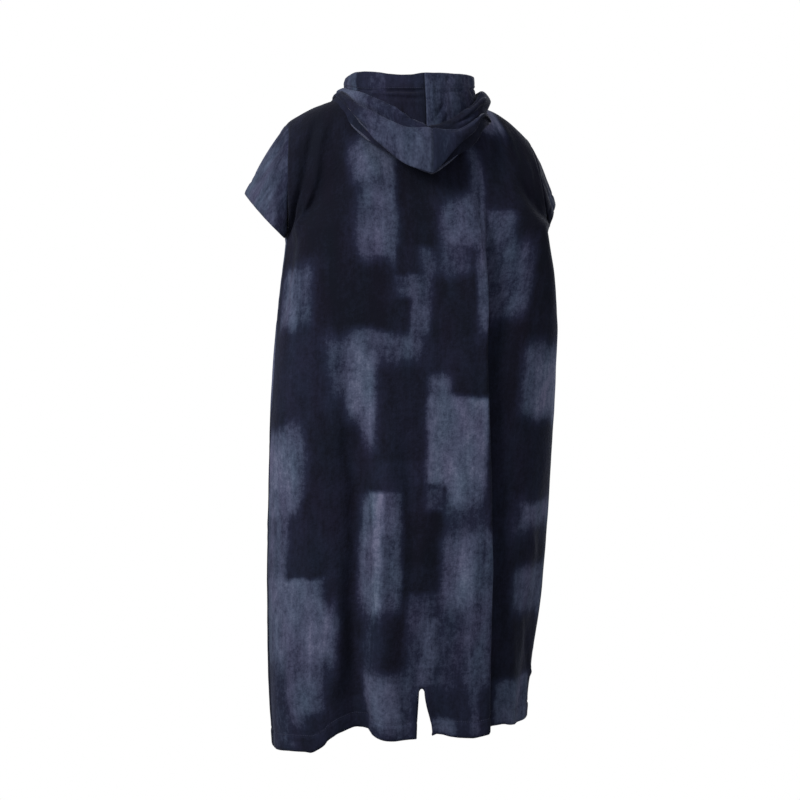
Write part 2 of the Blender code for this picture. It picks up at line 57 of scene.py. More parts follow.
# Neckline
NECK_Y = -0.010
NECK_HALF = 0.085
NECK_BACK = 0.075
NECK_FRONT = 0.095
NECK_BACK_DIP = 0.015
NECK_FRONT_DIP = 0.060
HOOD_LIFT = 0.0004
HOOD_RADIUS = 0.13  # of a plain round hood, whose half is pi times as long

# Shoulder seam and sleeves. hand is 1 on the wearer's left, tip_x and tip_z are the shoulder seam's end, and
# back, front and out are how far the armhole bows. top is the cuff's top, low leads from the armhole's lowest
# point to the cuff's, and rear from the cuff's middle to its rearmost point.
SHOULDER_CURVE = 2.0
ROUNDING = 0.58
Sleeve = namedtuple("Sleeve", "hand tip_x tip_z back front out top low rear")
SLEEVES = {
    sleeve.hand: sleeve
    for sleeve in (
        Sleeve(
            1, 0.226, -0.052, 0.085, 0.095, 0.012,
            top=(0.289, -0.085, -0.166), low=(0.004, -0.004, -0.008), rear=(0.012, 0.060, -0.007),
        ),
        Sleeve(
            -1, 0.217, -0.070, 0.072, 0.100, -0.010,
            top=(-0.292, -0.052, -0.173), low=(-0.013, -0.008, 0.006), rear=(0.015, 0.053, -0.005),
        ),
    )
}
UNDERARM_POINT = 1.5
UNDERARM_SAG = 0.020
UNDERARM_SAG_REACH = 0.25  # down from the underarm
UNDERARM_SPAN = 0.18
ARMHOLE_SHARE = 0.13
ARMHOLE_EASE = 0.30  # the share of a half ring that is drawn to the armhole
SLEEVE_ROUND = 0.003

# The body's rings. half, back and front are a ring's half width and depths about its shifted middle, the
# lifts raise its sides and its front, and square is 2 for an ellipse and more for squarer corners.
Level = namedtuple("Level", "name z half back front shift_x shift_y lift_left lift_right lift_front square")
LEVELS = (
    Level("shoulder", -0.060, 0.230, 0.104, 0.112, -0.006, 0.008, 0.000, 0.000, 0.000, 3.6),
    Level("chest", -0.150, 0.235, 0.116, 0.122, -0.008, 0.008, 0.000, 0.000, 0.000, 4.2),
    Level("underarm", -0.245, 0.238, 0.126, 0.130, -0.012, 0.008, 0.000, 0.018, 0.000, 3.8),
    Level("ribs", -0.345, 0.250, 0.136, 0.136, -0.0125, 0.009, 0.000, 0.009, 0.001, 3.1),
    Level("waist", -0.540, 0.257, 0.149, 0.143, -0.005, 0.006, -0.006, 0.003, 0.004, 2.5),
    Level("hips", -0.720, 0.256, 0.157, 0.148, 0.001, 0.000, -0.014, 0.006, 0.012, 2.3),
    Level("thighs", -0.900, 0.249, 0.160, 0.150, 0.0075, -0.006, -0.022, 0.010, 0.020, 2.2),
    Level("knees", -1.040, 0.237, 0.160, 0.150, 0.0145, -0.010, -0.029, 0.012, 0.028, 2.2),
    Level("hem", -1.124, 0.231, 0.159, 0.149, 0.015, -0.012, -0.031, 0.014, 0.036, 2.2),
)
UNDERARM = LEVELS[2]
HEM = LEVELS[-1]

# side is 1 behind and -1 in front. A pleat's places are shares of the half ring at the underarm and the hem.
# Below start its cloth turns back, by turn degrees from full down, over the length lap between two bends.
Pleat = namedtuple("Pleat", "name side place_top place_hem start full turn lap bend")
PLEATS = (
    Pleat("back_right", 1, 0.6105, 0.6875, -0.10, -0.48, 165, 0.030, 0.017),
    Pleat("front_left", -1, 0.270, 0.250, -0.34, -0.90, 120, 0.018, 0.017),
)
PLEAT_SPREAD = 0.085

# Long soft folds, each between two heights, with its half width, how far out it stands at its ends, and how
# far it lifts the cloth
Fold = namedtuple("Fold", "name side place_top place_hem start end width out_top out_hem lift")
FOLDS = (
    Fold("left_bulge", 1, 0.170, 0.150, -0.50, -1.25, 0.070, 0.000, 0.013, 0.000),
    Fold("left_trough", 1, 0.300, 0.330, -0.42, -1.25, 0.030, -0.012, -0.030, 0.022),
    Fold("left_ridge", 1, 0.390, 0.392, -0.50, -1.25, 0.026, 0.011, 0.011, 0.000),
    Fold("arm_left", 1, 0.130, 0.030, -0.08, -0.42, 0.026, -0.007, -0.004, 0.000),
    Fold("arm_right", 1, 0.860, 0.960, -0.08, -0.42, 0.032, -0.014, -0.005, 0.000),
    Fold("right_trough", 1, 0.880, 0.850, -0.62, -1.25, 0.030, -0.004, -0.012, 0.004),
    Fold("front_right_trough", -1, 0.640, 0.640, -0.40, -1.25, 0.034, -0.005, -0.022, 0.008),
    Fold("front_right_ridge", -1, 0.760, 0.760, -0.45, -1.25, 0.050, 0.004, 0.012, 0.000),
    Fold("front_middle_ridge", -1, 0.470, 0.450, -0.50, -1.25, 0.050, 0.003, 0.013, 0.000),
    Fold("front_arm_left", -1, 0.120, 0.040, -0.08, -0.40, 0.026, -0.008, -0.004, 0.000),
    Fold("front_arm_right", -1, 0.880, 0.960, -0.08, -0.40, 0.026, -0.008, -0.004, 0.000),
)

# Vent in the middle of the back hem
VENT_HEIGHT = 0.088
VENT_ROUND = 0.07  # the share of its height that is its round top
VENT_APEX = 0.0045
VENT_HEM = 0.0138
VENT_LEAN = 0.006
VENT_NECK = 0.009
VENT_TURN = 0.012  # the width of its turned edge, up to the stitches

# How the back hem rises above its level: across from the middle, and up, in mm
HEM_RISES = (
    (-343, 0), (-324, 1), (-280, 2), (-235, 2), (-200, -1), (-188, -4), (-180, -1), (-167, 5), (-160, 14),
    (-145, 19), (-130, 16), (-108, 11), (-92, 12), (-82, 5), (-68, 3), (-45, 1), (10, 2), (27, 9), (39, 7),
    (50, 3), (65, 0), (91, -3), (120, 0), (140, 8), (165, 8), (180, 3), (210, -5), (240, -5), (343, 0),
)
HEM_RISE_SPAN = 0.13

# Hood: one ring for each turn of its cloth, from the neck seam over the pointed fold behind and the roll
# above it to the rim, in mm. left, right, back and front are the ring's half widths and depths, z_front is
# its height in front, and square is 2 for an ellipse.
Ring = namedtuple("Ring", "name left right back front z_front square")
HOOD_RINGS = (
    Ring("neck_seam", 85, 85, 75, 95, -60, 2.0),
    Ring("under_top", 100, 100, 104, 100, -58.5, 2.0),
    Ring("under_middle", 121, 121, 128, 106, -56, 2.2),
    Ring("under_low", 123, 126, 154, 110, -53, 2.4),
    Ring("tip", 143, 139, 174, 113, -49, 2.5),
    Ring("lap_in", 132.5, 132, 172, 113, -48, 2.5),
    Ring("lap_edge", 137.5, 138, 184, 114, -47, 2.5),
    Ring("flap", 136, 136.5, 185, 115, -45, 2.5),
    Ring("flap_top", 127.5, 136.5, 172, 114, -42, 2.4),
    Ring("tuck", 124.5, 135, 157, 112, -41, 2.3),
    Ring("roll", 131, 143.7, 152, 111, -38, 2.3),
    Ring("roll_top", 121, 130, 144, 109, -36, 2.2),
    Ring("collar_low", 117.5, 121.5, 137, 108, -36.5, 2.1),
    Ring("collar", 116.5, 118, 132, 106, -35, 2.0),
    Ring("rim_stitch", 116.5, 117.2, 126, 104, -34, 2.0),
    Ring("rim", 114.5, 116.5, 118, 101, -31, 2.0),
)
# The rings' heights in mm, every 15 degrees from the left shoulder round the back to the right
HOOD_HEIGHTS = {
    "neck_seam": (0, -1, -4, -8, -11, -14, -15, -14, -11, -8, -4, -1, 0),
    "under_top": (5, 2, -5, -12, -21, -26, -28, -26, -21, -12, -5, 2, 5),
    "under_middle": (1, -3, -17, -37, -56, -71, -80, -70, -54, -38, -17, -4, 1),
    "under_low": (-10, -23, -49, -73, -93, -112, -130, -101, -76, -54, -42, -30, -18),
    "tip": (-10, -27, -62, -90, -112, -133, -153, -120, -97, -66, -52, -46, -34),
    "lap_in": (3, -12, -43, -73, -102, -133, -150, -98, -69, -42, -42, -39, -29),
    "lap_edge": (1, -16, -49, -81, -110, -138, -153, -103, -74, -46, -47, -45, -34),
    "flap": (5, -10, -38, -62, -82, -99, -103, -84, -64, -42, -44, -42, -31),
    "flap_top": (9, -5, -26, -41, -60, -74, -74, -75, -58, -41, -38, -31, -22),
    "tuck": (6, -4, -31, -46, -66, -81, -78, -83, -70, -53, -37, -20, -14),
    "roll": (12, 3, -11, -24, -42, -60, -70, -62, -43, -20, -11, -4, 8),
    "roll_top": (17, 9, 0, -13, -30, -50, -67, -55, -34, -16, 6, 13, 20),
    "collar_low": (8, 2, -10, -23, -40, -57, -67, -64, -49, -32, -13, 3, 9),
    "collar": (15, 9, 0, -7, -14, -21, -26, -22, -13, -3, 6, 13, 18),
    "rim_stitch": (22, 16, 8, 4, 2, 0, 1, 3, 7, 12, 18, 24, 27),
    "rim": (39, 40, 38, 34, 28, 26, 30, 32, 33, 36, 38, 41, 43),
}
HOOD_FRONT_FALL = 2.6  # how late a ring falls towards its front; the neck seam's is 2
# The share of the hem's thickness that the wall has at a ring, less where the folds are tight
HOOD_WALLS = ((0, 0.62), (1.5, 0.5), (3, 0.22), (13, 0.22), (14, 0.45), (14.4, 1.0), (15, 1.0))

# How finely each piece is divided. columns counts the threads between a panel's stations, and shoulder those
# that end on its left and its right shoulder seam.
Cut = namedtuple("Cut", "side columns shoulder")
BACK = Cut(1, (64, 4, 4, 28, 15, 8, 15, 32), (40, 78))
FRONT = Cut(-1, (30, 8, 4, 8, 30, 60), (50, 35))
YOKE_ROWS = 48
BODY_ROWS = 158
VENT_ROWS = 12
HEM_ROWS = 9
VENT_TOP = YOKE_ROWS + BODY_ROWS  # the row at the vent's top
PLAIN_THREAD = 30  # a thread clear of the pleat and the vent
HOOD_COLUMNS = 64  # from the centre seam to the shoulder
HOOD_STEPS = 12  # between two rings of the hood
SLEEVE_ROWS = 30
FINE = 1200  # points along a half ring, to measure it by
WAVES = 64  # random heights each way before they repeat


def smooth(t):
    """0 to 1 with level ends."""
    t = np.clip(t, 0.0, 1.0)
    return t * t * (3.0 - 2.0 * t)


def bump(t):
    """1 at 0, falling away on both sides."""
    return np.exp(-(t**2))


def waves(x, y, seed):
    """Smooth random heights, about -1 to 1, one unit apart."""
    table = np.random.RandomState(seed).uniform(-1.0, 1.0, (WAVES, WAVES))
    x, y = np.broadcast_arrays(x, y)
    column = np.floor(x).astype(int)
    row = np.floor(y).astype(int)
    across = smooth(x - column)
    down = smooth(y - row)
    left, right = column % WAVES, (column + 1) % WAVES
    top, bottom = row % WAVES, (row + 1) % WAVES
    near = table[top, left] * (1 - across) + table[top, right] * across
    far = table[bottom, left] * (1 - across) + table[bottom, right] * across
    return near + (far - near) * down


def between(first, second, slope, next_slope, t):
    """A smooth curve from one value to the next, with its slopes for the whole step."""
    leave = (2 * t**3 - 3 * t**2 + 1) * first + (t**3 - 2 * t**2 + t) * slope
    arrive = (3 * t**2 - 2 * t**3) * second + (t**3 - t**2) * next_slope
    return leave + arrive


# ---- the body's form


def level_at(z):
    """The body's ring at a height, blended smoothly between the levels."""
    heights = np.array([level.z for level in LEVELS])[::-1]
    columns = {"z": z}
    for column in Level._fields[2:]:
        values = np.array([getattr(level, column) for level in LEVELS])[::-1]
        slopes = np.gradient(values, heights)
        k = int(np.clip(np.searchsorted(heights, z) - 1, 0, len(heights) - 2))
        step = heights[k + 1] - heights[k]
        t = (z - heights[k]) / step
        columns[column] = between(values[k], values[k + 1], step * slopes[k], step * slopes[k + 1], t)
    return Level("between", **columns)


def half_ring(level, side):
    """Fine points of the ring's back half (side 1) or front half (side -1), and the length up to each."""
    angle = np.linspace(0.0, math.pi, FINE)
    power = 2.0 / level.square
    depth = level.back if side > 0 else level.front
    cos = np.cos(angle)
    x = level.shift_x + level.half * np.sign(cos) * np.abs(cos) ** power
    y = level.shift_y + side * depth * np.sin(angle).clip(0.0) ** power
    length = np.concatenate([[0.0], np.cumsum(np.hypot(np.diff(x), np.diff(y)))])
    return x, y, length


def on_ring(level, side, share, out):
    """Points at shares of the half ring's length, moved outwards."""
    x, y, length = half_ring(level, side)
    along = share * length[-1]
    step = 0.004
    ahead = np.clip(along + step, 0.0, length[-1])
    behind = np.clip(along - step, 0.0, length[-1])
    tangent_x = np.interp(ahead, length, x) - np.interp(behind, length, x)
    tangent_y = np.interp(ahead, length, y) - np.interp(behind, length, y)
    size = np.hypot(tangent_x, tangent_y)
    px = np.interp(along, length, x) + out * side * tangent_y / size
    py = np.interp(along, length, y) - out * side * tangent_x / size
    return px, py


def cloth_row(level, cut):
    """Where each thread of a panel crosses a level: its share of the half ring, and how far out it lies."""
    side = cut.side
    _, _, length = half_ring(level, side)
    ring = length[-1]
    (pleat,) = [pleat for pleat in PLEATS if pleat.side == side]
    down = (level.z - UNDERARM.z) / (HEM.z - UNDERARM.z)
    place = pleat.place_top + (pleat.place_hem - pleat.place_top) * np.clip(down, 0.0, 1.0)
    turn = math.radians(pleat.turn) * float(smooth((level.z - pleat.start) / (pleat.full - pleat.start)))
    lap = 0.25 * pleat.lap + 0.75 * pleat.lap * float(smooth((level.z - pleat.start) / (HEM.z - pleat.start)))
    marks = np.cumsum([place * ring, pleat.bend, lap, pleat.bend])
    fine = np.linspace(marks[0], marks[-1], FINE)
    heading = turn * np.interp(fine, marks, [0.0, 1.0, 1.0, 0.0])
    total = ring + (marks[-1] - marks[0]) * (1.0 - np.cos(heading)).mean()
    if side > 0:
        up = (level.z - HEM.z) / VENT_HEIGHT
        centre, half = 0.5 * ring + VENT_LEAN * float(smooth(1.0 - up)), vent_half(level.z)
        stations = [0.0, centre - half, centre, centre + half, *marks, total]
    else:
        stations = [0.0, *marks, 0.5 * ring + total - ring, total]
    threads = np.interp(np.arange(sum(cut.columns) + 1), np.cumsum([0, *cut.columns]), stations)
    fine = np.linspace(0.0, total, 4 * FINE)
    heading = turn * np.interp(fine, marks, [0.0, 1.0, 1.0, 0.0], left=0.0, right=0.0)
    step = fine[1] - fine[0]
    across = np.cumsum(np.cos(heading)) * step
    across -= across[0]
    across *= ring / across[-1]
    drop = np.cumsum(np.sin(heading)) * step
    raised = 0.5 * drop[-1]
    before = smooth(1.0 - (marks[0] - fine) / PLEAT_SPREAD)
    after = smooth(1.0 - (fine - marks[-1]) / PLEAT_SPREAD)
    out = raised * np.minimum(before, 1.0) - drop
    out = np.where(fine > marks[-1], -raised * after, out)
    share = np.interp(threads, fine, across) / ring
    return np.clip(share, 0.0, 1.0), np.interp(threads, fine, out)


def vent_half(z):
    """Half width of the back's middle threads: the vent's, and above it a narrow strip."""
    up = (z - HEM.z) / VENT_HEIGHT
    if up < 1.0:
        round_top = math.sqrt(1.0 - max(0.0, (up - 1.0 + VENT_ROUND) / VENT_ROUND) ** 2)
        return (VENT_HEM + (VENT_APEX - VENT_HEM) * float(smooth(up))) * max(0.3, round_top)
    above = (z - HEM.z - VENT_HEIGHT) / (0.0 - HEM.z - VENT_HEIGHT)
    return VENT_APEX * (0.3 + 0.7 * float(smooth(above / 0.05))) + (VENT_NECK - VENT_APEX) * above


def fold_moves(side, share, z, ring):
    """How far the long soft folds move the cloth out at a level, and how far they lift it."""
    out = np.zeros_like(share)
    lift = np.zeros_like(share)
    edge = smooth(share * ring / 0.04) * smooth((1.0 - share) * ring / 0.04)
    for fold in FOLDS:
        if fold.side != side or not fold.end < z < fold.start:
            continue
        down = (fold.start - z) / (fold.start - fold.end)
        place = fold.place_top + (fold.place_hem - fold.place_top) * down
        height = fold.out_top + (fold.out_hem - fold.out_top) * down
        fade = smooth(down / 0.25) * smooth((1.0 - down) / 0.12)
        across = bump((share - place) * ring / fold.width)
        out += height * fade * across
        lift += fold.lift * down**2 * across
    return out * edge, lift * edge


def side_lift(level, x):
    """How far the cloth is lifted at the sides of a level."""
    across = (x - level.shift_x) / level.half
    return np.where(across > 0.0, level.lift_left, level.lift_right) * across**2


def body_row(cut, z):
    """One row of a panel at or below the underarm."""
    level = level_at(z)
    share, pleat_out = cloth_row(level, cut)
    ring = half_ring(level, cut.side)[2][-1]
    folds, lift = fold_moves(cut.side, share, z, ring)
    x, y = on_ring(level, cut.side, share, pleat_out + folds)
    flat_x, flat_y = on_ring(level, cut.side, share, 0.0)
    lift = lift + side_lift(level, flat_x)
    if cut.side < 0:
        lift = lift + level.lift_front * ((flat_y - level.shift_y) / level.front) ** 2
    else:
        rise = 0.001 * np.interp(1000.0 * (share - 0.5) * ring, *zip(*HEM_RISES))
        inside = smooth(np.minimum(share, 1.0 - share) * ring / 0.03)
        lift = lift + rise * inside * float(smooth(1.0 - (z - HEM.z) / HEM_RISE_SPAN))
    near = np.minimum(1.0, np.minimum(share, 1.0 - share) / UNDERARM_SPAN)
    sag = UNDERARM_SAG * 6.75 * near * (1.0 - near) ** 2  # 6.75 makes the deepest place UNDERARM_SAG
    lift = lift - sag * float(smooth(1.0 - (UNDERARM.z - z) / UNDERARM_SAG_REACH))
    return np.stack([x, y, z + lift], axis=-1)


def armhole(hand, turn):
    """A point on the armhole. turn runs from 0 at the top, back, to 2 pi."""
    arm = SLEEVES[hand]
    lift = UNDERARM.lift_left if hand > 0 else UNDERARM.lift_right
    low = np.array([UNDERARM.shift_x + hand * UNDERARM.half, UNDERARM.shift_y, UNDERARM.z + lift])
    top = np.array([hand * arm.tip_x, 0.0, arm.tip_z])
    bow = arm.back if math.sin(turn) > 0.0 else -arm.front
    round_off = 1.0 if math.cos(turn) > 0.0 else UNDERARM_POINT
    point = 0.5 * (top + low) + 0.5 * (top - low) * math.cos(turn)
    sine = math.sin(turn)
    return point + np.array([hand * arm.out * sine**2, bow * abs(sine) ** round_off, 0.0])


def neckline(side, turn):
    """Points on the neckline, turn running from 0 at the wearer's left to pi at the right."""
    depth = NECK_BACK if side > 0 else NECK_FRONT
    dip = NECK_BACK_DIP if side > 0 else NECK_FRONT_DIP
    sine = np.sin(turn)
    return np.stack([NECK_HALF * np.cos(turn), NECK_Y + side * depth * sine, -dip * sine**2], axis=-1)


def neck_turns(share, first, middle, last):
    """The neckline's turn at each thread between the shoulder seams, a quarter turn at the middle thread."""
    left = (share[first : middle + 1] - share[first]) / (share[middle] - share[first])
    right = (share[middle : last + 1] - share[middle]) / (share[last] - share[middle])
    return 0.5 * math.pi * np.concatenate([left, 1.0 + right[1:]])


def middle_thread(cut):
    """The number of a panel's middle thread."""
    return sum(cut.columns[:2]) if cut.side > 0 else sum(cut.columns[:5])


def shoulder_seam(hand, out):
    """Points on a shoulder seam, out running from 0 at the neckline to 1 at the tip."""
    x = NECK_HALF + (SLEEVES[hand].tip_x - NECK_HALF) * out
    return np.stack([hand * x, NECK_Y * (1.0 - out), SLEEVES[hand].tip_z * out**SHOULDER_CURVE], axis=-1)


def top_row(cut):
    """The panel's top edge: left shoulder seam, neckline, right shoulder seam."""
    share, _ = cloth_row(UNDERARM, cut)
    first, last = cut.shoulder[0], len(share) - 1 - cut.shoulder[1]
    left = shoulder_seam(1, 1.0 - share[:first] / share[first])
    right = shoulder_seam(-1, (share[last + 1 :] - share[last]) / (1.0 - share[last]))
    turns = neck_turns(share, first, middle_thread(cut), last)
    return np.concatenate([left, neckline(cut.side, turns), right])


def yoke_row(cut, t):
    """One row between the shoulder (t = 0) and the underarm (t = 1), ending on the armholes."""
    side = cut.side
    top = top_row(cut)
    gone = ARMHOLE_SHARE * math.sin(math.pi * t)
    down = 1.0 - math.cos(0.5 * math.pi * t)
    level = level_at(UNDERARM.z * max(down, LEVELS[0].z / UNDERARM.z))
    share, pleat_out = cloth_row(level, cut)
    x, y = on_ring(level, side, gone + (1.0 - 2.0 * gone) * share, 0.0)
    round_over = math.sqrt(1.0 - (1.0 - min(1.0, down / ROUNDING)) ** 2)
    across = float(smooth(down))
    row = np.stack(
        [
            top[:, 0] + (x - top[:, 0]) * across,
            top[:, 1] + (y - top[:, 1]) * round_over,
            top[:, 2] + (UNDERARM.z - top[:, 2]) * down,
        ],
        axis=-1,
    )
    row[:, 2] += side_lift(level, x)
    ring = half_ring(level, side)[2][-1]
    folds, _ = fold_moves(side, share, row[:, 2].mean(), ring)
    row[:, 1] += side * (pleat_out + folds) * float(smooth((down - 0.1) / 0.5))
    turn = math.pi * t
    for hand, end, near in ((1, 0, share), (-1, -1, 1.0 - share)):
        edge = armhole(hand, turn if side > 0 else 2.0 * math.pi - turn)
        row += np.outer(smooth(1.0 - near / ARMHOLE_EASE), edge - row[end])
    return row


def body_heights():
    """The heights of a panel's rows from the underarm down to the hem."""
    return [
        *np.linspace(UNDERARM.z, HEM.z + VENT_HEIGHT, BODY_ROWS + 1),
        *np.linspace(HEM.z + VENT_HEIGHT, HEM.z + HEM_WIDTH, VENT_ROWS + 1)[1:],
        *np.linspace(HEM.z + HEM_WIDTH, HEM.z, HEM_ROWS + 1)[1:],
    ]


def panel(cut):
    """A panel's grid: rows from the shoulder down to the hem, threads from the wearer's left to the right."""
    yoke = [yoke_row(cut, k / YOKE_ROWS) for k in range(YOKE_ROWS)]
    return np.array(yoke + [body_row(cut, z) for z in body_heights()])


def sleeve(hand):
    """A sleeve's grid: rings from the armhole to the cuff, each round from the underarm by the front."""
    turns = np.linspace(math.pi, 3.0 * math.pi, 2 * YOKE_ROWS + 1)
    arm = SLEEVES[hand]
    top, low, rear = np.array(arm.top), armhole(hand, math.pi) + arm.low, np.array(arm.rear)
    start = np.array([armhole(hand, turn) for turn in turns])
    end = 0.5 * (top + low) + 0.5 * np.outer(np.cos(turns), top - low) + np.outer(np.sin(turns), rear)
    away = 0.5 * (start + end) - 0.5 * (start + end).mean(axis=0)
    away /= np.linalg.norm(away, axis=1)[:, None]
    shares = np.linspace(0.0, 1.0, SLEEVE_ROWS + 1)
    rings = [start + (end - start) * k + away * SLEEVE_ROUND * math.sin(math.pi * k) for k in shares]
    return np.array(rings)


def curve(values, at, level_start=False):
    """A smooth curve through rows of values, read at fractional row numbers."""
    k = np.clip(np.floor(at).astype(int), 0, len(values) - 2)
    slopes = np.gradient(values, axis=0)
    # Where a column turns back, the curve turns there too.
    steps = np.diff(values, axis=0)
    slopes[1:-1] = np.where(steps[1:] * steps[:-1] < 0.0, 0.3 * slopes[1:-1], slopes[1:-1])
    if level_start:
        slopes[0] = 0.0
    t = (at - k).reshape((-1,) + (1,) * (values.ndim - 1))
    return between(values[k], values[k + 1], slopes[k], slopes[k + 1], t)


def hood(hand):
    """A half hood's grid: rings from the neck seam to the rim, each from the centre seam to the front."""
    quarter = np.linspace(0.5 * math.pi, 0.0, HOOD_COLUMNS + 1)
    turns = np.concatenate([quarter, -quarter[-2::-1]])
    cos, sin = np.cos(turns), np.sin(turns)
    back = sin > 0.0
    rings = []
    for ring in HOOD_RINGS:
        left, right, deep, front, z_front = (0.001 * size for size in ring[1:6])
        heights = 0.001 * np.array(HOOD_HEIGHTS[ring.name][::hand][:7])
        behind = curve(heights, np.clip(turns, 0.0, None) / math.radians(15.0), True)
        fall = HOOD_FRONT_FALL if rings else 2.0
        ahead = heights[0] + (z_front - heights[0]) * np.abs(sin) ** fall
        power = 2.0 / ring.square
        x = hand * (left if hand > 0 else right) * np.abs(cos) ** np.where(back, power, 1.0)
        y = NECK_Y + np.where(back, deep * np.abs(sin) ** power, front * sin)
        rings.append(np.stack([x, y, np.where(back, behind, ahead) + HOOD_LIFT], axis=-1))
    at = np.linspace(0.0, len(rings) - 1.0, HOOD_STEPS * (len(rings) - 1) + 1)
    return curve(np.array(rings), at)


# ---- the print, and the highlights and shade painted into it

# Overlapping brushed blocks of the print, with a few rows of painted highlight and painted shade among them,
# each marked. Each has its left, right, top and bottom edge on the cloth in mm, its
# # tone from near-black 0 to pale slate 1, and how softly its sides, top and bottom end, in mm times BLUR.
Block = namedtuple("Block", "left right top bottom tone side above below")
BLUR = 1.5
PRINT_LENGTH = 1.13  # down the body, in metres
BODY_BLOCKS = (
    (-264, -238, -63, 318, 0.06, 25, 36, 36),
    (-238, -149, -65, 303, 0.00, 25, 36, 45),
    (-175, -112, 27, 93, 0.05, 21, 36, 36),
    (-162, -124, 123, 293, 0.00, 25, 43, 54),
    (-138, -49, 85, 168, 0.68, 25, 36, 25),
    (-147, -67, 197, 303, 0.34, 21, 36, 54),
    (-126, -61, 156, 241, 0.55, 21, 36, 43),
    (-131, -68, 218, 320, 0.60, 21, 36, 54),
    (-58, 14, 117, 276, 0.02, 18, 28, 7),
    (7, 77, 193, 280, 0.47, 25, 46, 14),
    (32, 73, 200, 273, 0.55, 21, 36, 28),
    (71, 100, 93, 341, 0.49, 14, 43, 43),
    # Slate of the print, lifted past the palest tone: painted light where the hood's shadow falls on the yoke
    (114, 204, -45, 90, 1.15, 18, 18, 39),
    (107, 230, 51, 212, 0.09, 12, 43, 21),
    (96, 165, 211, 279, 0.46, 14, 10, 25),
    (161, 266, -35, 364, 0.01, 18, 36, 36),
    (-69, -6, 274, 325, 0.08, 7, 7, 5),
    (-27, 4, 276, 324, 0.39, 14, 10, 7),
    (2, 67, 273, 329, 0.34, 16, 9, 21),
    (90, 213, 266, 404, 0.42, 21, 28, 28),
    (173, 219, 322, 396, 0.46, 21, 28, 28),
    (-311, -212, 303, 416, 0.44, 25, 25, 50),
    (-311, -245, 307, 410, 0.62, 21, 28, 46),
    (-208, -73, 307, 428, 0.02, 25, 28, 32),
    (-75, -10, 325, 368, 0.45, 14, 7, 14),
    (-49, -10, 325, 430, 0.50, 10, 7, 25),
    (-19, 3, 295, 368, 0.40, 14, 18, 21),
    (-76, -47, 365, 426, 0.08, 9, 10, 14),
    (-6, 73, 332, 460, 0.05, 14, 18, 25),
    (-4, 79, 439, 505, 0.11, 16, 25, 21),
    (70, 92, 262, 428, 0.56, 7, 36, 54),
    (173, 241, 405, 716, 0.02, 10, 28, 72),
    (237, 326, 385, 453, 0.08, 14, 18, 18),
    (227, 353, 439, 584, 0.60, 21, 28, 36),
    (259, 354, 470, 596, 0.90, 16, 28, 28),
    (-341, -200, 418, 585, 0.17, 25, 32, 43),
    (-192, -142, 424, 552, 0.39, 28, 25, 54),
    (-150, -100, 424, 607, 0.80, 21, 21, 61),
    (-127, -75, 421, 457, 0.49, 25, 14, 21),
    (-95, -19, 431, 485, 0.50, 18, 18, 28),
    (-18, -4, 430, 491, 0.18, 12, 18, 25),
    (-91, -4, 481, 649, 0.08, 25, 32, 10),
    (-114, 1, 645, 693, 0.18, 18, 5, 5),
    (-343, -227, 578, 694, 0.53, 21, 21, 21),
    (-344, -254, 601, 701, 0.80, 18, 25, 21),
    (-349, -245, 688, 738, 0.66, 18, 9, 25),
    (-219, -125, 580, 806, 0.08, 21, 36, 43),
    (-9, 32, 498, 546, 0.53, 16, 18, 10),
    (25, 98, 536, 712, 0.74, 10, 10, 54),
    (-10, 42, 536, 687, 0.68, 12, 10, 18),
    (27, 87, 684, 736, 0.67, 18, 18, 46),
    (-267, -169, 733, 840, 0.14, 16, 28, 14),
    (-349, -268, 735, 845, 0.54, 14, 21, 7),
    (-111, -46, 697, 910, 0.46, 10, 7, 46),
    (-114, -84, 698, 910, 0.96, 7, 7, 39),
    (-131, -99, 709, 904, 0.62, 14, 28, 39),
    (-49, 27, 687, 738, 0.10, 12, 7, 18),
    (-10, 27, 687, 735, 0.37, 10, 7, 14),
    (-43, 23, 733, 831, 0.01, 12, 9, 18),
    (-41, 17, 824, 872, 0.08, 10, 14, 5),
    (-38, 17, 870, 920, 0.34, 9, 5, 5),
    (29, 103, 726, 788, 0.36, 21, 28, 28),
    (24, 203, 770, 923, 0.53, 18, 25, 46),
    (43, 79, 790, 895, 0.76, 18, 28, 39),
    (-347, -196, 835, 905, 0.69, 21, 7, 36),
    (-348, -172, 879, 996, 0.66, 22, 28, 50),
    (-283, -190, 956, 1073, 0.57, 21, 39, 43),
    (-350, -260, 990, 1121, 0.31, 18, 46, 18),
    (-237, -111, 1069, 1128, 0.13, 18, 25, 18),
    (-122, -31, 910, 1019, 0.27, 16, 28, 18),
    (-76, -38, 910, 1013, 0.07, 14, 25, 18),
    (-33, -7, 909, 1054, 0.32, 10, 5, 28),
    (-10, 22, 913, 1044, 0.55, 12, 7, 50),
    (23, 175, 912, 1058, 0.34, 16, 28, 25),
    (74, 113, 872, 1043, 0.56, 18, 43, 54),
    (12, 120, 1047, 1124, 0.21, 16, 21, 14),
    (16, 55, 1094, 1122, 0.60, 16, 14, 14),
    (-118, -16, 1009, 1122, 0.41, 16, 18, 39),
    (-106, -44, 1019, 1092, 0.71, 16, 21, 32),
    (194, 366, 576, 718, 0.10, 14, 32, 25),
    (229, 377, 708, 788, 0.25, 16, 18, 28),
    (255, 377, 724, 767, 0.69, 14, 14, 21),
    (254, 367, 838, 935, 0.58, 21, 21, 32),
    (127, 349, 927, 1048, 0.07, 16, 28, 10),
    (237, 355, 1039, 1124, 0.57, 12, 14, 14),
    # A painted highlight along the back pleat's folded edge
    (84, 101, 760, 1122, 0.44, 6, 30, 20),
)
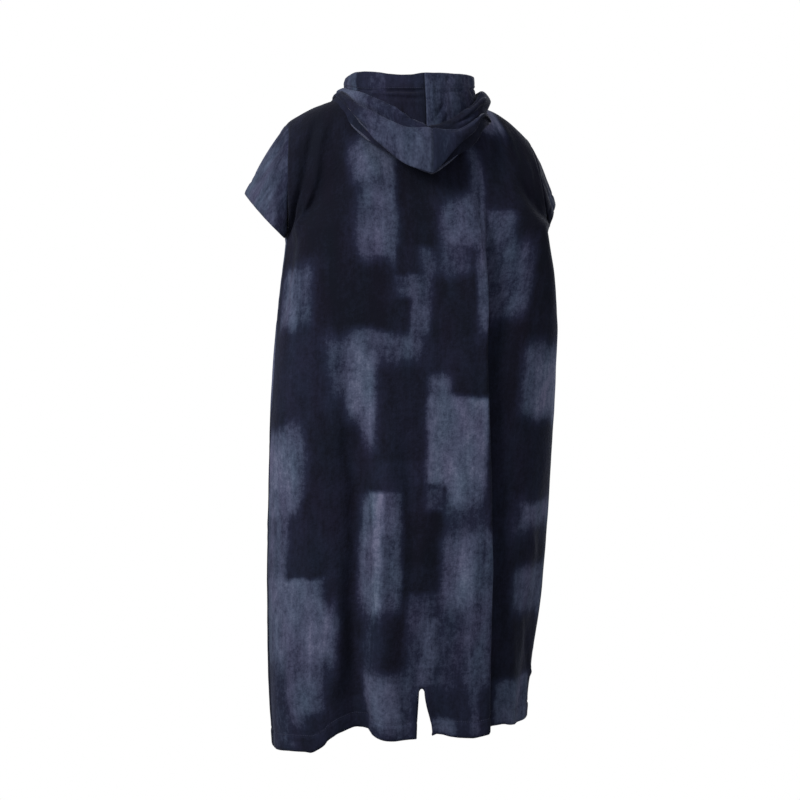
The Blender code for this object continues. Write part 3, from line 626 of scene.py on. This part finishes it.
# The hood's, for its left and right half: across from the centre seam, and up from the neck seam ring by ring
HOOD_PRINT_STEP = 0.020  # from one ring to the next
HOOD_BLOCKS = {
    1: (
        (-230, 40, -20, 116, 0.14, 12, 10, 10),
        (-230, 40, 108, 185, 0.28, 12, 8, 8),
        (-112, 40, 110, 176, 0.44, 40, 8, 10),
        (-60, 40, 116, 150, 0.52, 30, 14, 14),
        (-26, 40, 112, 170, 0.60, 12, 10, 10),
        # A darker strip across the left flap: painted fold shadow
        (-190, -136, 122, 160, 0.12, 24, 12, 12),
        (-230, -112, 162, 186, 0.46, 20, 8, 8),
        # These two lighten the left side of the roll: painted highlight
        (-230, -104, 182, 232, 0.56, 34, 8, 6),
        (-230, -140, 182, 232, 0.68, 24, 8, 6),
        (-100, 40, 180, 236, 0.34, 30, 8, 8),
        (-52, 40, 184, 214, 0.28, 20, 10, 10),
        (-56, 40, 212, 236, 0.36, 20, 8, 8),
        (-230, 40, 236, 320, 0.20, 12, 6, 8),
        (-72, 40, 236, 284, 0.10, 14, 6, 8),
        (-120, -60, 262, 320, 0.30, 24, 10, 8),
        (-230, -151, 240, 320, 0.46, 6, 8, 8),
    ),
    -1: (
        (-40, 230, -20, 112, 0.06, 12, 10, 10),
        (-40, 230, 108, 164, 0.26, 12, 8, 8),
        (30, 120, 118, 140, 0.10, 20, 8, 8),
        (-40, 90, 158, 178, 0.36, 20, 8, 8),
        (-40, 230, 180, 236, 0.10, 12, 8, 8),
        (46, 92, 184, 200, 0.30, 16, 6, 8),
        (-40, 230, 236, 320, 0.38, 12, 8, 8),
        (-40, 30, 236, 290, 0.44, 10, 10, 10),
        (66, 150, 236, 270, 0.30, 20, 10, 10),
        (-40, 20, 290, 320, 0.34, 8, 8, 8),
    ),
}
SLEEVE_BLOCKS = {
    1: (
        (-20, 460, -20, 220, 0.60, 12, 10, 10),
        # A painted highlight along the sleeve's lighter ridge
        (215, 262, 20, 220, 0.70, 24, 20, 20),
        # These two darken the cloth beside the armhole seam: painted shade in its fold
        (250, 445, -20, 46, 0.34, 24, 12, 26),
        (330, 372, -20, 60, 0.40, 18, 16, 16),
        (60, 150, 10, 80, 0.24, 20, 20, 20),
    ),
    -1: (
        (-20, 460, -20, 220, 0.05, 12, 10, 10),
        (270, 380, 58, 130, 0.32, 14, 12, 10),
        (60, 150, 10, 80, 0.30, 20, 20, 20),
    ),
}


def brushed(u, v, blocks, base, seed):
    """Tones of a print at cloth points, with the painted highlights and shade that some blocks carry: block
    laid over block, with soft sides and ragged ends.
    """
    tone = base + 0.03 * waves(u / 0.05, v / 0.12, seed)
    for n, row in enumerate(blocks):
        block = Block(*row)
        left, right, top, bottom = (0.001 * size for size in block[:4])
        side, above, below = (0.001 * BLUR * size for size in block[5:])
        across = u + 0.004 * waves(v / 0.045 + 3.7 * n, u / 0.2 + n, seed + 1)
        fine = waves(u / 0.007 + 5.3 * n, v / 0.3, seed + 2)
        ragged = 0.15 * fine + 0.45 * waves(u / 0.024 + n, v / 0.3, seed + 3)
        top_edge = smooth((v - top) / above + 0.5 + 0.45 * ragged)
        end_edge = smooth((bottom - v) / below + 0.5 + 0.45 * ragged)
        sides = smooth((across - left) / side + 0.5) * smooth((right - across) / side + 0.5)
        tone = tone + (block.tone - tone) * sides * top_edge * end_edge
    worn = 0.07 * waves(u / 0.031, v / 0.085, seed + 4) + 0.05 * waves(u / 0.012, v / 0.060, seed + 5)
    return tone + worn * (0.35 + tone)


# ---- creases

# Soft ridges and troughs, each a row of (u0, v0, u1, v1, width, height): from one point on the cloth to
# another, with its half width and its height, in mm. CREASE_DEPTH times the heights are built.
CREASE_DEPTH = 1.6
BACK_CREASES = (
    (-212, 8, -234, 103, 6, -4.5),
    (-234, 103, -293, 237, 7, -5.5),
    (-188, 26, -213, 124, 8, 3.5),
    (-213, 124, -254, 245, 8, 3.8),
    (-246, 20, -245, 124, 8, 2.5),
    (237, 50, 276, 152, 5, -2),
    (211, 50, 217, 182, 9, 2),
    (-240, 273, -196, 421, 9, 1.2),
    (-319, 287, -227, 449, 9, -1.2),
    (-206, 421, -161, 569, 9, -1.5),
    (-181, 449, -141, 604, 8, 1.5),
    (-150, 492, -158, 654, 9, -1.5),
    (-141, 604, -143, 809, 10, -2),
    (-143, 809, -130, 1042, 12, -2.5),
    (-106, 661, -88, 894, 7, 3),
    (-88, 894, -74, 1049, 8, 2),
    (-73, 710, -65, 950, 7, -1.2),
    (-47, 590, -30, 880, 9, -1),
    (-11, 661, -10, 880, 9, 1),
    (18, 746, 25, 986, 9, -1.2),
    (50, 506, 56, 746, 10, 1.2),
    (65, 364, 84, 590, 7, -1.2),
    (99, 175, 90, 421, 5, 1.8),
    (-274, 654, -251, 802, 10, -1.5),
    (-230, 802, -192, 972, 10, 1.8),
    (-198, 802, -171, 943, 9, -2),
    (-171, 873, -171, 1042, 9, 2),
    (-278, 866, -250, 1021, 11, 1.5),
    (-125, 1063, -129, 1124, 6, 3),
    (-112, 1070, -115, 1124, 3.5, -3),
    (-92, 1056, -99, 1124, 4, 2.5),
    (370, 1007, 376, 1028, 5, -2.5),
    (348, 1021, 375, 1049, 5, 2),
    (254, 717, 323, 830, 9, 1.5),
    (236, 823, 279, 1056, 9, 1.5),
    (288, 901, 373, 1096, 9, -1.5),
    (213, 259, 269, 414, 8, -1.2),
    (197, 294, 248, 506, 9, 1.2),
    (-117, 82, -85, 198, 9, 1.2),
    (-38, 103, -62, 266, 9, -1),
    (12, 152, -7, 301, 9, 1),
    (-175, 20, -153, 167, 9, -1.2),
    (123, 44, 129, 152, 9, -1.2),
    (172, 20, 184, 138, 9, 1.2),
)
FRONT_CREASES = (
    (-212, 8, -236, 120, 7, -2.5),
    (-232, 110, -286, 240, 7, -3),
    (-190, 26, -214, 130, 9, 2.2),
    (214, 12, 240, 118, 7, -2.5),
    (236, 110, 288, 236, 7, -3),
    (188, 30, 212, 140, 9, 2.2),
    (-120, 80, -40, 190, 10, 1.4),
    (122, 84, 44, 196, 10, 1.4),
    (-96, 96, 0, 168, 9, -1.4),
    (98, 100, 4, 172, 9, -1.4),
    (-60, 190, 40, 214, 11, 1.2),
    (-250, 280, -190, 450, 10, -1.5),
    (-210, 430, -150, 640, 9, 1.6),
    (250, 290, 190, 470, 10, -1.4),
    (206, 440, 160, 650, 9, 1.6),
    (-40, 420, -52, 700, 11, -1.5),
    (36, 480, 30, 820, 11, 1.5),
    (92, 560, 84, 900, 10, -1.6),
    (-110, 620, -104, 960, 11, 1.8),
    (-236, 640, -226, 930, 12, -1.8),
    (232, 700, 236, 1010, 12, 1.6),
    (170, 820, 166, 1100, 10, -1.8),
    (-20, 860, -16, 1110, 9, 1.6),
)
SLEEVE_CREASES = (
    (110, 0, 150, 110, 8, -1.6),
    (165, 10, 175, 120, 10, 1.4),
    (215, 0, 225, 110, 9, -1.2),
    (262, 10, 270, 120, 8, 1.4),
    (300, 0, 318, 110, 7, -1.8),
    (60, 20, 90, 100, 9, 1.2),
)
# For the hood's left and right half, out from the centre seam and up from the neck seam
HOOD_CREASES = {
    1: (
        (168, 144, 118, 159, 5, -1.4),
        (118, 159, 78, 170, 5, -1.4),
        (150, 162, 96, 172, 6, 1.6),
        (100, 152, 40, 162, 6, 1.6),
        (50, 175, 16, 176, 4, -1.2),
        (56, 163, 24, 168, 4, 1.2),
        (22, 194, 10, 182, 2.5, -1.5),
        (15, 189, 14, 159, 3.5, 1.3),
        (62, 244, 30, 238, 3, 1.8),
        (30, 238, 16, 233, 3, 1.8),
        (40, 226, 22, 253, 3, -1.6),
        (128, 227, 60, 229, 6, 1.2),
        (78, 291, 2, 291, 1.8, 1.3),
        (84, 285, 2, 288, 1.7, -2),
        (96, 278, 4, 284, 1.8, 1.6),
        (84, 274, 4, 281, 1.7, -1.8),
        (66, 271, 8, 277, 1.8, 1.1),
        (124, 283, 100, 299, 4, -1.8),
        (112, 277, 84, 293, 4, 1.4),
        (96, 305, 80, 295, 3, -1.6),
    ),
    -1: (
        (37, 276, 17, 261, 2.5, -2.6),
        (44, 270, 24, 254, 3, 1.5),
        (16, 304, 15, 256, 3.5, 1.3),
        (56, 312, 44, 304, 3, -2),
        (66, 296, 100, 274, 5, -1.5),
        (60, 280, 94, 258, 4, 1.5),
        (72, 229, 126, 229, 4, -2.4),
        (58, 221, 128, 219, 4, 1.8),
        (36, 214, 130, 208, 3.5, -2.4),
        (20, 159, 80, 148, 5, 1.2),
        (14, 168, 60, 168, 4, -1.2),
        (120, 292, 132, 274, 5, -1.6),
    ),
}


def creased(u, v, table, seed):
    """The summed height of creases at cloth points. Each wanders a little and fades at its ends."""
    height = np.zeros_like(u)
    for n, row in enumerate(table):
        u0, v0, u1, v1, width, high = (0.001 * size for size in row)
        run_u, run_v = u1 - u0, v1 - v0
        length = math.hypot(run_u, run_v)
        along = ((u - u0) * run_u + (v - v0) * run_v) / length**2
        off = ((u - u0) * run_v - (v - v0) * run_u) / length
        off = off + 0.5 * width * waves(along * length / 0.05 + 7.1 * n, np.zeros_like(along), seed)
        ends = smooth((along + 0.12) / 0.34) * smooth((1.12 - along) / 0.34)
        height += CREASE_DEPTH * high * bump(off / width) * ends
    return height


def rumpled(u, v, seed):
    """The cloth's own slight unevenness: long undulations and smaller dents."""
    broad = waves(u / 0.075, v / 0.21, seed) + 0.5 * waves(u / 0.045 + v / 0.3, v / 0.13, seed + 1)
    small = waves(u / 0.020 + v / 0.09, v / 0.045 - u / 0.08, seed + 2)
    return 0.0015 * broad + 0.0006 * small


def sewn(distance, along, seed):
    """A seam's groove and the puckered cloth beside it."""
    pucker = 1.0 + 0.6 * waves(along / 0.012, np.zeros_like(along), seed)
    return -0.0012 * bump(distance / 0.0032) + 0.0005 * pucker * bump((distance - 0.009) / 0.006)


def rounded(distance):
    """1 at a finished edge, falling to 0 where its rounding starts."""
    return np.clip(1.0 - distance / EDGE_ROUND, 0.0, 1.0) ** 2


def hemmed(distance, along, width, seed):
    """A turned hem: its doubled cloth, the sunk line of stitches, slight gathers and the rounded edge."""
    band = 0.0007 * (1.0 - smooth((distance - width + 0.004) / 0.004))
    stitched = -0.0013 * bump((distance - width) / 0.0026)
    gathers = waves(along / 0.010, distance / 0.03, seed) * bump((distance - 0.7 * width) / (0.6 * width))
    return band + stitched + 0.0004 * gathers - 0.0014 * rounded(distance)


# ---- building a piece of cloth


def unit(vectors):
    """The vectors with their lengths made 1."""
    return vectors / np.linalg.norm(vectors, axis=-1)[..., None]


def cloth_way(grid, axis):
    """The way the cloth runs at each point along one axis of a grid, halfway between those on either side."""
    ahead = unit(np.diff(grid, axis=axis))
    first, last = np.take(ahead, [0], axis=axis), np.take(ahead, [-1], axis=axis)
    return np.concatenate([first, ahead], axis=axis) + np.concatenate([ahead, last], axis=axis)


def grid_normals(grid, outward):
    """The cloth's normal at each point of a grid, facing out of the garment."""
    return unit(outward * np.cross(cloth_way(grid, 0), cloth_way(grid, 1)))


def along_rows(grid):
    """Length along each row from its first point."""
    steps = np.linalg.norm(np.diff(grid, axis=1), axis=2)
    return np.concatenate([np.zeros((len(grid), 1)), np.cumsum(steps, axis=1)], axis=1)


def down_columns(grid):
    """Length down each column from its first point."""
    return along_rows(grid.transpose(1, 0, 2)).T


def placed(name, data):
    """A new object in the scene."""
    obj = bpy.data.objects.new(name, data)
    bpy.context.scene.collection.objects.link(obj)
    return obj


def made(name, bm, materials):
    """A smooth object of the faces built so far."""
    for face in bm.faces:
        face.smooth = True
    mesh = bpy.data.meshes.new(name)
    bm.to_mesh(mesh)
    bm.free()
    for material in materials:
        mesh.materials.append(material)
    return placed(name, mesh)


def cloth_shell(name, grid, outward, u, v, tone, wall, slit=(), closed=False):
    """A sheet of cloth with its faces outwards.

    wall is the share of the hem's thickness at each point, and slit has the columns that the vent takes away.
    """
    rows, columns = grid.shape[:2]
    bm = bmesh.new()
    uv_layer = bm.loops.layers.uv.new("cloth")
    print_and_painted_light_layer = bm.verts.layers.float.new("dye")
    group_layer = bm.verts.layers.deform.verify()
    bmesh.ops.create_grid(bm, x_segments=columns - 1, y_segments=rows - 1, size=1.0)
    spot = {}
    for vert in bm.verts:
        i = round((vert.co.x + 1.0) / 2.0 * (columns - 1))
        j = round((vert.co.y + 1.0) / 2.0 * (rows - 1))
        spot[vert.index] = (j, i)
    for face in bm.faces:
        for loop in face.loops:
            j, i = spot[loop.vert.index]
            loop[uv_layer].uv = (u[j, i], -v[j, i])
    for vert in bm.verts:
        j, i = spot[vert.index]
        vert.co = grid[j, i]
        vert[print_and_painted_light_layer] = tone[j, i]
        vert[group_layer][0] = float(wall[j, i])
    if slit:
        corners = {face: np.min([spot[vert.index] for vert in face.verts], axis=0) for face in bm.faces}
        gone = [face for face, (j, i) in corners.items() if j >= VENT_TOP and i in slit]
        bmesh.ops.delete(bm, geom=gone, context="FACES")
    if outward > 0:
        bmesh.ops.reverse_faces(bm, faces=bm.faces[:])
    if closed:
        bmesh.ops.remove_doubles(bm, verts=bm.verts[:], dist=1e-5)
    obj = made(name, bm, (VELOUR, LOOPS))
    obj.vertex_groups.new(name="wall")
    solidify = obj.modifiers.new("wall", "SOLIDIFY")
    solidify.thickness = HEM_CLOTH
    solidify.offset = -1.0
    solidify.vertex_group = "wall"
    solidify.material_offset = 1
    solidify.material_offset_rim = 0
    return obj


def stitched(name, lines):
    """Short stitches along lines, each line a list of points and the cloth's normals there."""
    bm = bmesh.new()
    for points, normals in lines:
        steps = np.linalg.norm(np.diff(points, axis=0), axis=1)
        length = np.concatenate([[0.0], np.cumsum(steps)])
        for at in np.arange(0.5 * STITCH_PITCH, length[-1], STITCH_PITCH):
            here = Vector([np.interp(at, length, points[:, k]) for k in range(3)])
            ahead = Vector([np.interp(at + 0.0005, length, points[:, k]) for k in range(3)])
            up = Vector([np.interp(at, length, normals[:, k]) for k in range(3)]).normalized()
            along = ahead - here
            if along.length < 1e-7:
                continue
            along.normalize()
            side = up.cross(along).normalized()
            turn = Matrix((along, side, up)).transposed().to_4x4()
            turn.translation = here + up * STITCH_LIFT
            size = Matrix.Diagonal((*STITCH, 1.0))
            bmesh.ops.create_uvsphere(bm, u_segments=6, v_segments=4, radius=1.0, matrix=turn @ size)
    return made(name, bm, (THREAD,))


# ---- materials


class Socket:
    """A material's output that plain arithmetic adds Math nodes to."""

    def __init__(self, graph, output):
        self.graph = graph
        self.output = output

    def math(self, operation, *values):
        """A Math node of these values."""
        return self.graph.add("ShaderNodeMath", {"operation": operation}, dict(enumerate(values)))

    def __add__(self, other):
        return self.math("ADD", self, other)

    def __radd__(self, other):
        return self.math("ADD", other, self)

    def __sub__(self, other):
        return self.math("SUBTRACT", self, other)

    def __rsub__(self, other):
        return self.math("SUBTRACT", other, self)

    def __mul__(self, other):
        return self.math("MULTIPLY", self, other)

    def __rmul__(self, other):
        return self.math("MULTIPLY", other, self)


def set_stops(elements, stops):
    """Gives a colour ramp its stops, each a place and a colour."""
    while len(elements) < len(stops):
        elements.new(0.5)
    for element, (place, colour) in zip(elements, stops):
        element.position = place
        element.color = colour


class Graph:
    """A material's nodes."""

    def __init__(self, name):
        self.material = bpy.data.materials.new(name)
        self.material.use_nodes = True
        self.tree = self.material.node_tree
        self.shader = self.tree.nodes["Principled BSDF"]

    def add(self, kind, settings=None, values=None, output=0):
        """A new node with its settings, then its inputs' values or links, and one of its outputs."""
        node = self.tree.nodes.new(kind)
        for name, value in (settings or {}).items():
            if name == "stops":
                set_stops(node.color_ramp.elements, value)
            else:
                setattr(node, name, value)
        for name, value in (values or {}).items():
            self.join(value, node.inputs[name])
        return Socket(self, node.outputs[output])

    def join(self, value, socket):
        """Links a value to a socket, or sets the socket to it."""
        if isinstance(value, Socket):
            self.tree.links.new(value.output, socket)
        else:
            socket.default_value = value

    def shade(self, **values):
        """Sets the shader's own sockets, named with underscores, and gives the finished material."""
        for name, value in values.items():
            self.join(value, self.shader.inputs[name.replace("_", " ")])
        return self.material


def linear(red, green, blue):
    """A colour given as on a screen, from 0 to 255, in linear light."""
    parts = [part / 255.0 for part in (red, green, blue)]
    light = [part / 12.92 if part < 0.04045 else ((part + 0.055) / 1.055) ** 2.4 for part in parts]
    return (*light, 1.0)


def noise(graph, where, scale, detail=2.0):
    """A noise from about -1 to 1 over the cloth."""
    stretched = graph.add("ShaderNodeVectorMath", {"operation": "MULTIPLY"}, {0: where, 1: scale})
    found = graph.add("ShaderNodeTexNoise", {}, {"Vector": stretched, "Scale": 1.0, "Detail": detail})
    return (found - 0.5) * 3.0


def velour():
    """The outer face: sheared pile in near-black, navy and slate, streaked lengthwise by the brush."""
    graph = Graph("printed_velour")
    where = graph.add("ShaderNodeUVMap", {"uv_map": "cloth"})
    # The print's tones, with the painted highlights and painted shade of some blocks
    dye = graph.add("ShaderNodeAttribute", {"attribute_name": "dye"}, output="Fac")
    streaks = noise(graph, where, (200.0, 22.0, 1.0), 2.0)
    strokes = noise(graph, where, (60.0, 9.0, 1.0), 2.0)
    patches = noise(graph, where, (52.0, 34.0, 1.0), 3.0)
    # Crushed pile. In the bump it is relief; in the colour the same noise lightens where the pile stands up
    # and darkens its dents, painted highlight and painted shade
    crushed_pile_and_painted_shade = noise(graph, where, (150.0, 130.0, 1.0), 3.0)
    grain = noise(graph, where, (420.0, 360.0, 1.0), 2.0)
    marks = streaks * 0.12 + strokes * 0.14 + patches * 0.26 + crushed_pile_and_painted_shade * 0.24 + grain * 0.20
    tone = dye + marks * (dye * 0.75 + 0.26)
    dyes = (
        (0.00, linear(16, 17, 27)),
        (0.30, linear(30, 33, 50)),
        (0.60, linear(61, 66, 85)),
        (0.80, linear(76, 81, 101)),
        (1.00, linear(95, 98, 118)),
    )
    colour = graph.add("ShaderNodeValToRGB", {"stops": dyes}, {0: tone})
    cast = noise(graph, where, (26.0, 9.0, 1.0), 1.0) * 0.6 + 0.5
    cold = (0.86, 1.03, 1.00, 1.0)
    warm = (1.12, 0.98, 1.06, 1.0)
    # A Mix node's sockets 0, 6 and 7 are its factor and two colours, and its output 2 is their mix.
    tint = graph.add("ShaderNodeMix", {"data_type": "RGBA"}, {0: cast, 6: cold, 7: warm}, 2)
    tinting = {"data_type": "RGBA", "blend_type": "MULTIPLY"}
    colour = graph.add("ShaderNodeMix", tinting, {0: 1.0, 6: colour, 7: tint}, 2)
    pile = noise(graph, where, (1700.0, 900.0, 1.0), 2.0)
    lay = noise(graph, where, (420.0, 90.0, 1.0), 2.0)
    height = pile * 0.00012 + lay * 0.00016 + crushed_pile_and_painted_shade * 0.0006
    normal = graph.add("ShaderNodeBump", {}, {"Strength": 0.6, "Distance": 1.0, "Height": height})
    return graph.shade(
        Base_Color=colour,
        Roughness=0.95,
        Specular_IOR_Level=0.08,
        Sheen_Weight=0.10,
        Sheen_Roughness=0.35,
        Sheen_Tint=(0.62, 0.66, 0.85, 1.0),
        Normal=normal,
    )


def loops():
    """The inner face: plain uncut terry loops."""
    graph = Graph("terry_loops")
    where = graph.add("ShaderNodeUVMap", {"uv_map": "cloth"})
    stretched = graph.add("ShaderNodeVectorMath", {"operation": "SCALE"}, {0: where, "Scale": 620.0})
    cells = graph.add("ShaderNodeTexVoronoi", {}, {"Vector": stretched, "Scale": 1.0})
    # The loops darken towards the gaps between them, where the bump sinks: painted shade
    tone = noise(graph, where, (40.0, 30.0, 1.0)) * 0.08 + 0.5 - cells * 0.35
    dyes = ((0.0, linear(28, 31, 46)), (1.0, linear(82, 87, 112)))
    colour = graph.add("ShaderNodeValToRGB", {"stops": dyes}, {0: tone})
    normal = graph.add("ShaderNodeBump", {}, {"Strength": 0.8, "Distance": 1.0, "Height": cells * -0.0007})
    return graph.shade(
        Base_Color=colour, Roughness=0.95, Specular_IOR_Level=0.1, Sheen_Weight=0.2, Normal=normal
    )


def thread():
    """The sewing thread, navy a shade lighter than the cloth."""
    graph = Graph("thread")
    return graph.shade(Base_Color=linear(52, 56, 76), Roughness=0.7, Specular_IOR_Level=0.3)


VELOUR = velour()
LOOPS = loops()
THREAD = thread()

# ---- the pieces


def vent_edge(u, v):
    """The turned and stitched edge of the vent."""
    slit = np.array([vent_half(z) for z in [0.0] * YOKE_ROWS + body_heights()])
    beside = np.maximum(0.0, np.abs(u) - slit[:, None])
    above = np.maximum(0.0, -HEM.z - VENT_HEIGHT - v)
    near = np.hypot(beside, above)
    return np.where(near < 0.03, 1.0, 0.0) * (
        0.0005 * (1.0 - smooth((near - VENT_TURN + 0.004) / 0.004))
        - 0.0010 * bump((near - VENT_TURN) / 0.0024)
        - 0.0012 * rounded(near)
    )


def build_panel(name, cut, creases, offset):
    """A body panel and its hem stitches. offset sets its random unevenness apart from the other panel's."""
    grid = panel(cut)
    rows, columns = grid.shape[:2]
    middle = middle_thread(cut)
    left = along_rows(grid)
    right = left[:, -1:] - left
    top = down_columns(grid)
    u = left - left[:, middle : middle + 1]
    down = top[:, PLAIN_THREAD]
    down = down - down[YOKE_ROWS] - UNDERARM.z
    down[YOKE_ROWS:] = -np.array(body_heights())
    v = np.repeat(down[:, None], columns, axis=1)

    seams = np.minimum(np.minimum(left, right), top)
    run = np.where(top <= np.minimum(left, right), u, v)
    hem = -HEM.z - v
    free = smooth(seams / SEAM_CALM)
    relief = free * (rumpled(u, v, 40 + offset) + creased(u, v, creases, 50 + offset))
    relief += sewn(seams, run, 60 + offset) + hemmed(hem, u, HEM_WIDTH, 70 + offset)
    if cut.side > 0:
        relief += vent_edge(u, v)
        tone = brushed(u, v, BODY_BLOCKS, 0.06, 80)
        slit = range(cut.columns[0], sum(cut.columns[:3]))
    else:
        # The same print, with the cloth turned round, and the back's painted highlights with it
        tone = brushed(u, PRINT_LENGTH - v, BODY_BLOCKS, 0.06, 90)
        slit = ()
    normals = grid_normals(grid, cut.side)
    grid = grid + normals * relief[..., None]
    wall = np.where(hem < HEM_WIDTH + 1e-6, 1.0, CLOTH / HEM_CLOTH)
    obj = cloth_shell(name, grid, cut.side, u, v, tone, wall, slit)
    row = rows - 1 - HEM_ROWS
    runs = [slice(0, slit.start - 3), slice(slit.stop + 4, columns)] if slit else [slice(0, columns)]
    return obj, stitched(name + "_stitches", [(grid[row, run], normals[row, run]) for run in runs])


def build_sleeve(name, hand):
    """A sleeve and its cuff stitches."""
    grid = sleeve(hand)
    along = along_rows(grid)
    u = along * (along[:, -1].mean() / along[:, -1:])
    v = down_columns(grid)
    cuff = v[-1:] - v
    under = smooth(np.minimum(u, u[:, -1:] - u) / 0.03)
    relief = rumpled(u, v, 100 + hand) + creased(u, v, SLEEVE_CREASES, 110 + hand)
    relief *= smooth(v / SEAM_CALM) * under
    relief += sewn(v, u, 120 + hand) + hemmed(cuff, u, CUFF_HEM, 130 + hand) * under
    tone = brushed(u, v, SLEEVE_BLOCKS[hand], 0.10, 140 + hand)
    normals = grid_normals(grid, hand)
    ends = unit(normals[:, 0] + normals[:, -1])
    normals[:, 0], normals[:, -1] = ends, ends
    grid = grid + normals * relief[..., None]
    grid[:, -1] = grid[:, 0]
    wall = np.where(cuff < CUFF_HEM, 1.0, CLOTH / HEM_CLOTH)
    obj = cloth_shell(name, grid, hand, u, v, tone, wall, closed=True)
    row = int(np.argmin(np.abs(cuff.mean(axis=1) - CUFF_HEM)))
    return obj, stitched(name + "_stitches", [(grid[row], normals[row])])


def build_hood(name, hand):
    """A half hood and its rim stitches."""
    grid = hood(hand)
    rows, columns = grid.shape[:2]
    ring = np.arange(rows)[:, None] / HOOD_STEPS
    across = np.arange(columns) / (columns - 1) * HOOD_RADIUS * math.pi
    u = np.repeat(across[None, :], rows, axis=0)
    down = down_columns(grid)[:, : columns // 2].mean(axis=1)
    v = np.repeat(down[:, None], columns, axis=1)
    rim = v[-1:] - v
    seam = along_rows(grid)
    seam = np.minimum(seam, seam[:, -1:] - seam)
    free = smooth(seam / 0.012)
    gathers = waves(u / 0.011, v / 0.016, 200 + hand) * bump((rim - 0.015) / 0.013)
    relief = rumpled(u * 1.3, v * 1.6, 150 + hand) + creased(u, v, HOOD_CREASES[hand], 160 + hand)
    relief *= free * smooth(v / SEAM_CALM)
    relief += sewn(seam, v, 170) + hemmed(rim, u, RIM_HEM, 180 + hand) * smooth(seam / 0.006)
    relief += 0.0016 * gathers * free
    tone = brushed(-hand * u, HOOD_PRINT_STEP * ring + 0.0 * u, HOOD_BLOCKS[hand], 0.15, 190)
    normals = grid_normals(grid, hand)
    grid = grid + normals * relief[..., None]
    wall = np.interp(ring, *zip(*HOOD_WALLS)) + 0.0 * u
    obj = cloth_shell(name, grid, hand, hand * u, v, tone, wall)
    row = rows - 1 - HOOD_STEPS
    return obj, stitched(name + "_stitches", [(grid[row], normals[row])])


def finish_piece(built, node):
    """Puts a piece and its stitches on the root body and hides the part that it stands for."""
    cloth, thread_work = built
    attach(cloth, "root")
    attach(thread_work, "root")
    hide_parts(node)


back = build_panel("back_cloth", BACK, BACK_CREASES, 0)
finish_piece(back, "back_panel")
front = build_panel("front_cloth", FRONT, FRONT_CREASES, 1)
finish_piece(front, "front_panel")
for hand, side in ((1, "left"), (-1, "right")):
    arm = build_sleeve("sleeve_cloth_" + side, hand)
    finish_piece(arm, "sleeve_" + side)
    half = build_hood("hood_cloth_" + side, hand)
    finish_piece(half, "hood_" + side)

# ---- light and camera

scene = bpy.context.scene
scene.view_settings.view_transform = "Standard"

world = bpy.data.worlds.new("studio")
scene.world = world
world.use_nodes = True
sky = world.node_tree
background = sky.nodes["Background"]
background.inputs["Color"].default_value = (0.93, 0.95, 1.0, 1.0)
background.inputs["Strength"].default_value = 0.42
white = sky.nodes.new("ShaderNodeBackground")
white.inputs["Color"].default_value = (1.0, 1.0, 1.0, 1.0)
seen = sky.nodes.new("ShaderNodeLightPath")
mix = sky.nodes.new("ShaderNodeMixShader")
sky.links.new(seen.outputs["Is Camera Ray"], mix.inputs[0])
sky.links.new(background.outputs[0], mix.inputs[1])
sky.links.new(white.outputs[0], mix.inputs[2])
sky.links.new(mix.outputs[0], sky.nodes["World Output"].inputs["Surface"])

# The camera's side of the garment, its own right hand, and the point that all is set about
BEHIND = Vector((0.225, 0.974, 0.0))
RIGHT = Vector((-0.974, 0.225, 0.0))
UP = Vector((0.0, 0.0, 1.0))
MIDDLE = Vector((0.0, 0.0, -0.54))
CAMERA_AWAY = 3.2
CAMERA_LEFT = 0.018


def lamp(name, behind, right, up, size, watts, colour):
    """A round soft lamp that points at the garment's middle."""
    place = MIDDLE + BEHIND * behind + RIGHT * right + UP * up
    data = bpy.data.lights.new(name, "AREA")
    data.shape = "DISK"
    data.size = size
    data.energy = watts
    data.color = colour
    obj = placed(name, data)
    obj.location = place
    obj.rotation_euler = (MIDDLE - place).to_track_quat("-Z", "Y").to_euler()


lamp("key", 2.4, -2.2, 1.7, 1.3, 122.0, (1.0, 0.98, 0.96))
lamp("right_fill", 2.4, 2.0, 1.6, 2.0, 22.0, (0.97, 0.98, 1.0))
lamp("front_fill", -3.0, 1.2, 1.4, 2.4, 60.0, (0.96, 0.98, 1.0))

camera_data = bpy.data.cameras.new("camera")
camera_data.lens = 80.0
camera_data.sensor_width = 36.0
camera = placed("camera", camera_data)
camera.location = MIDDLE - RIGHT * CAMERA_LEFT + BEHIND * CAMERA_AWAY
camera.rotation_euler = (-BEHIND).to_track_quat("-Z", "Y").to_euler()
scene.camera = camera
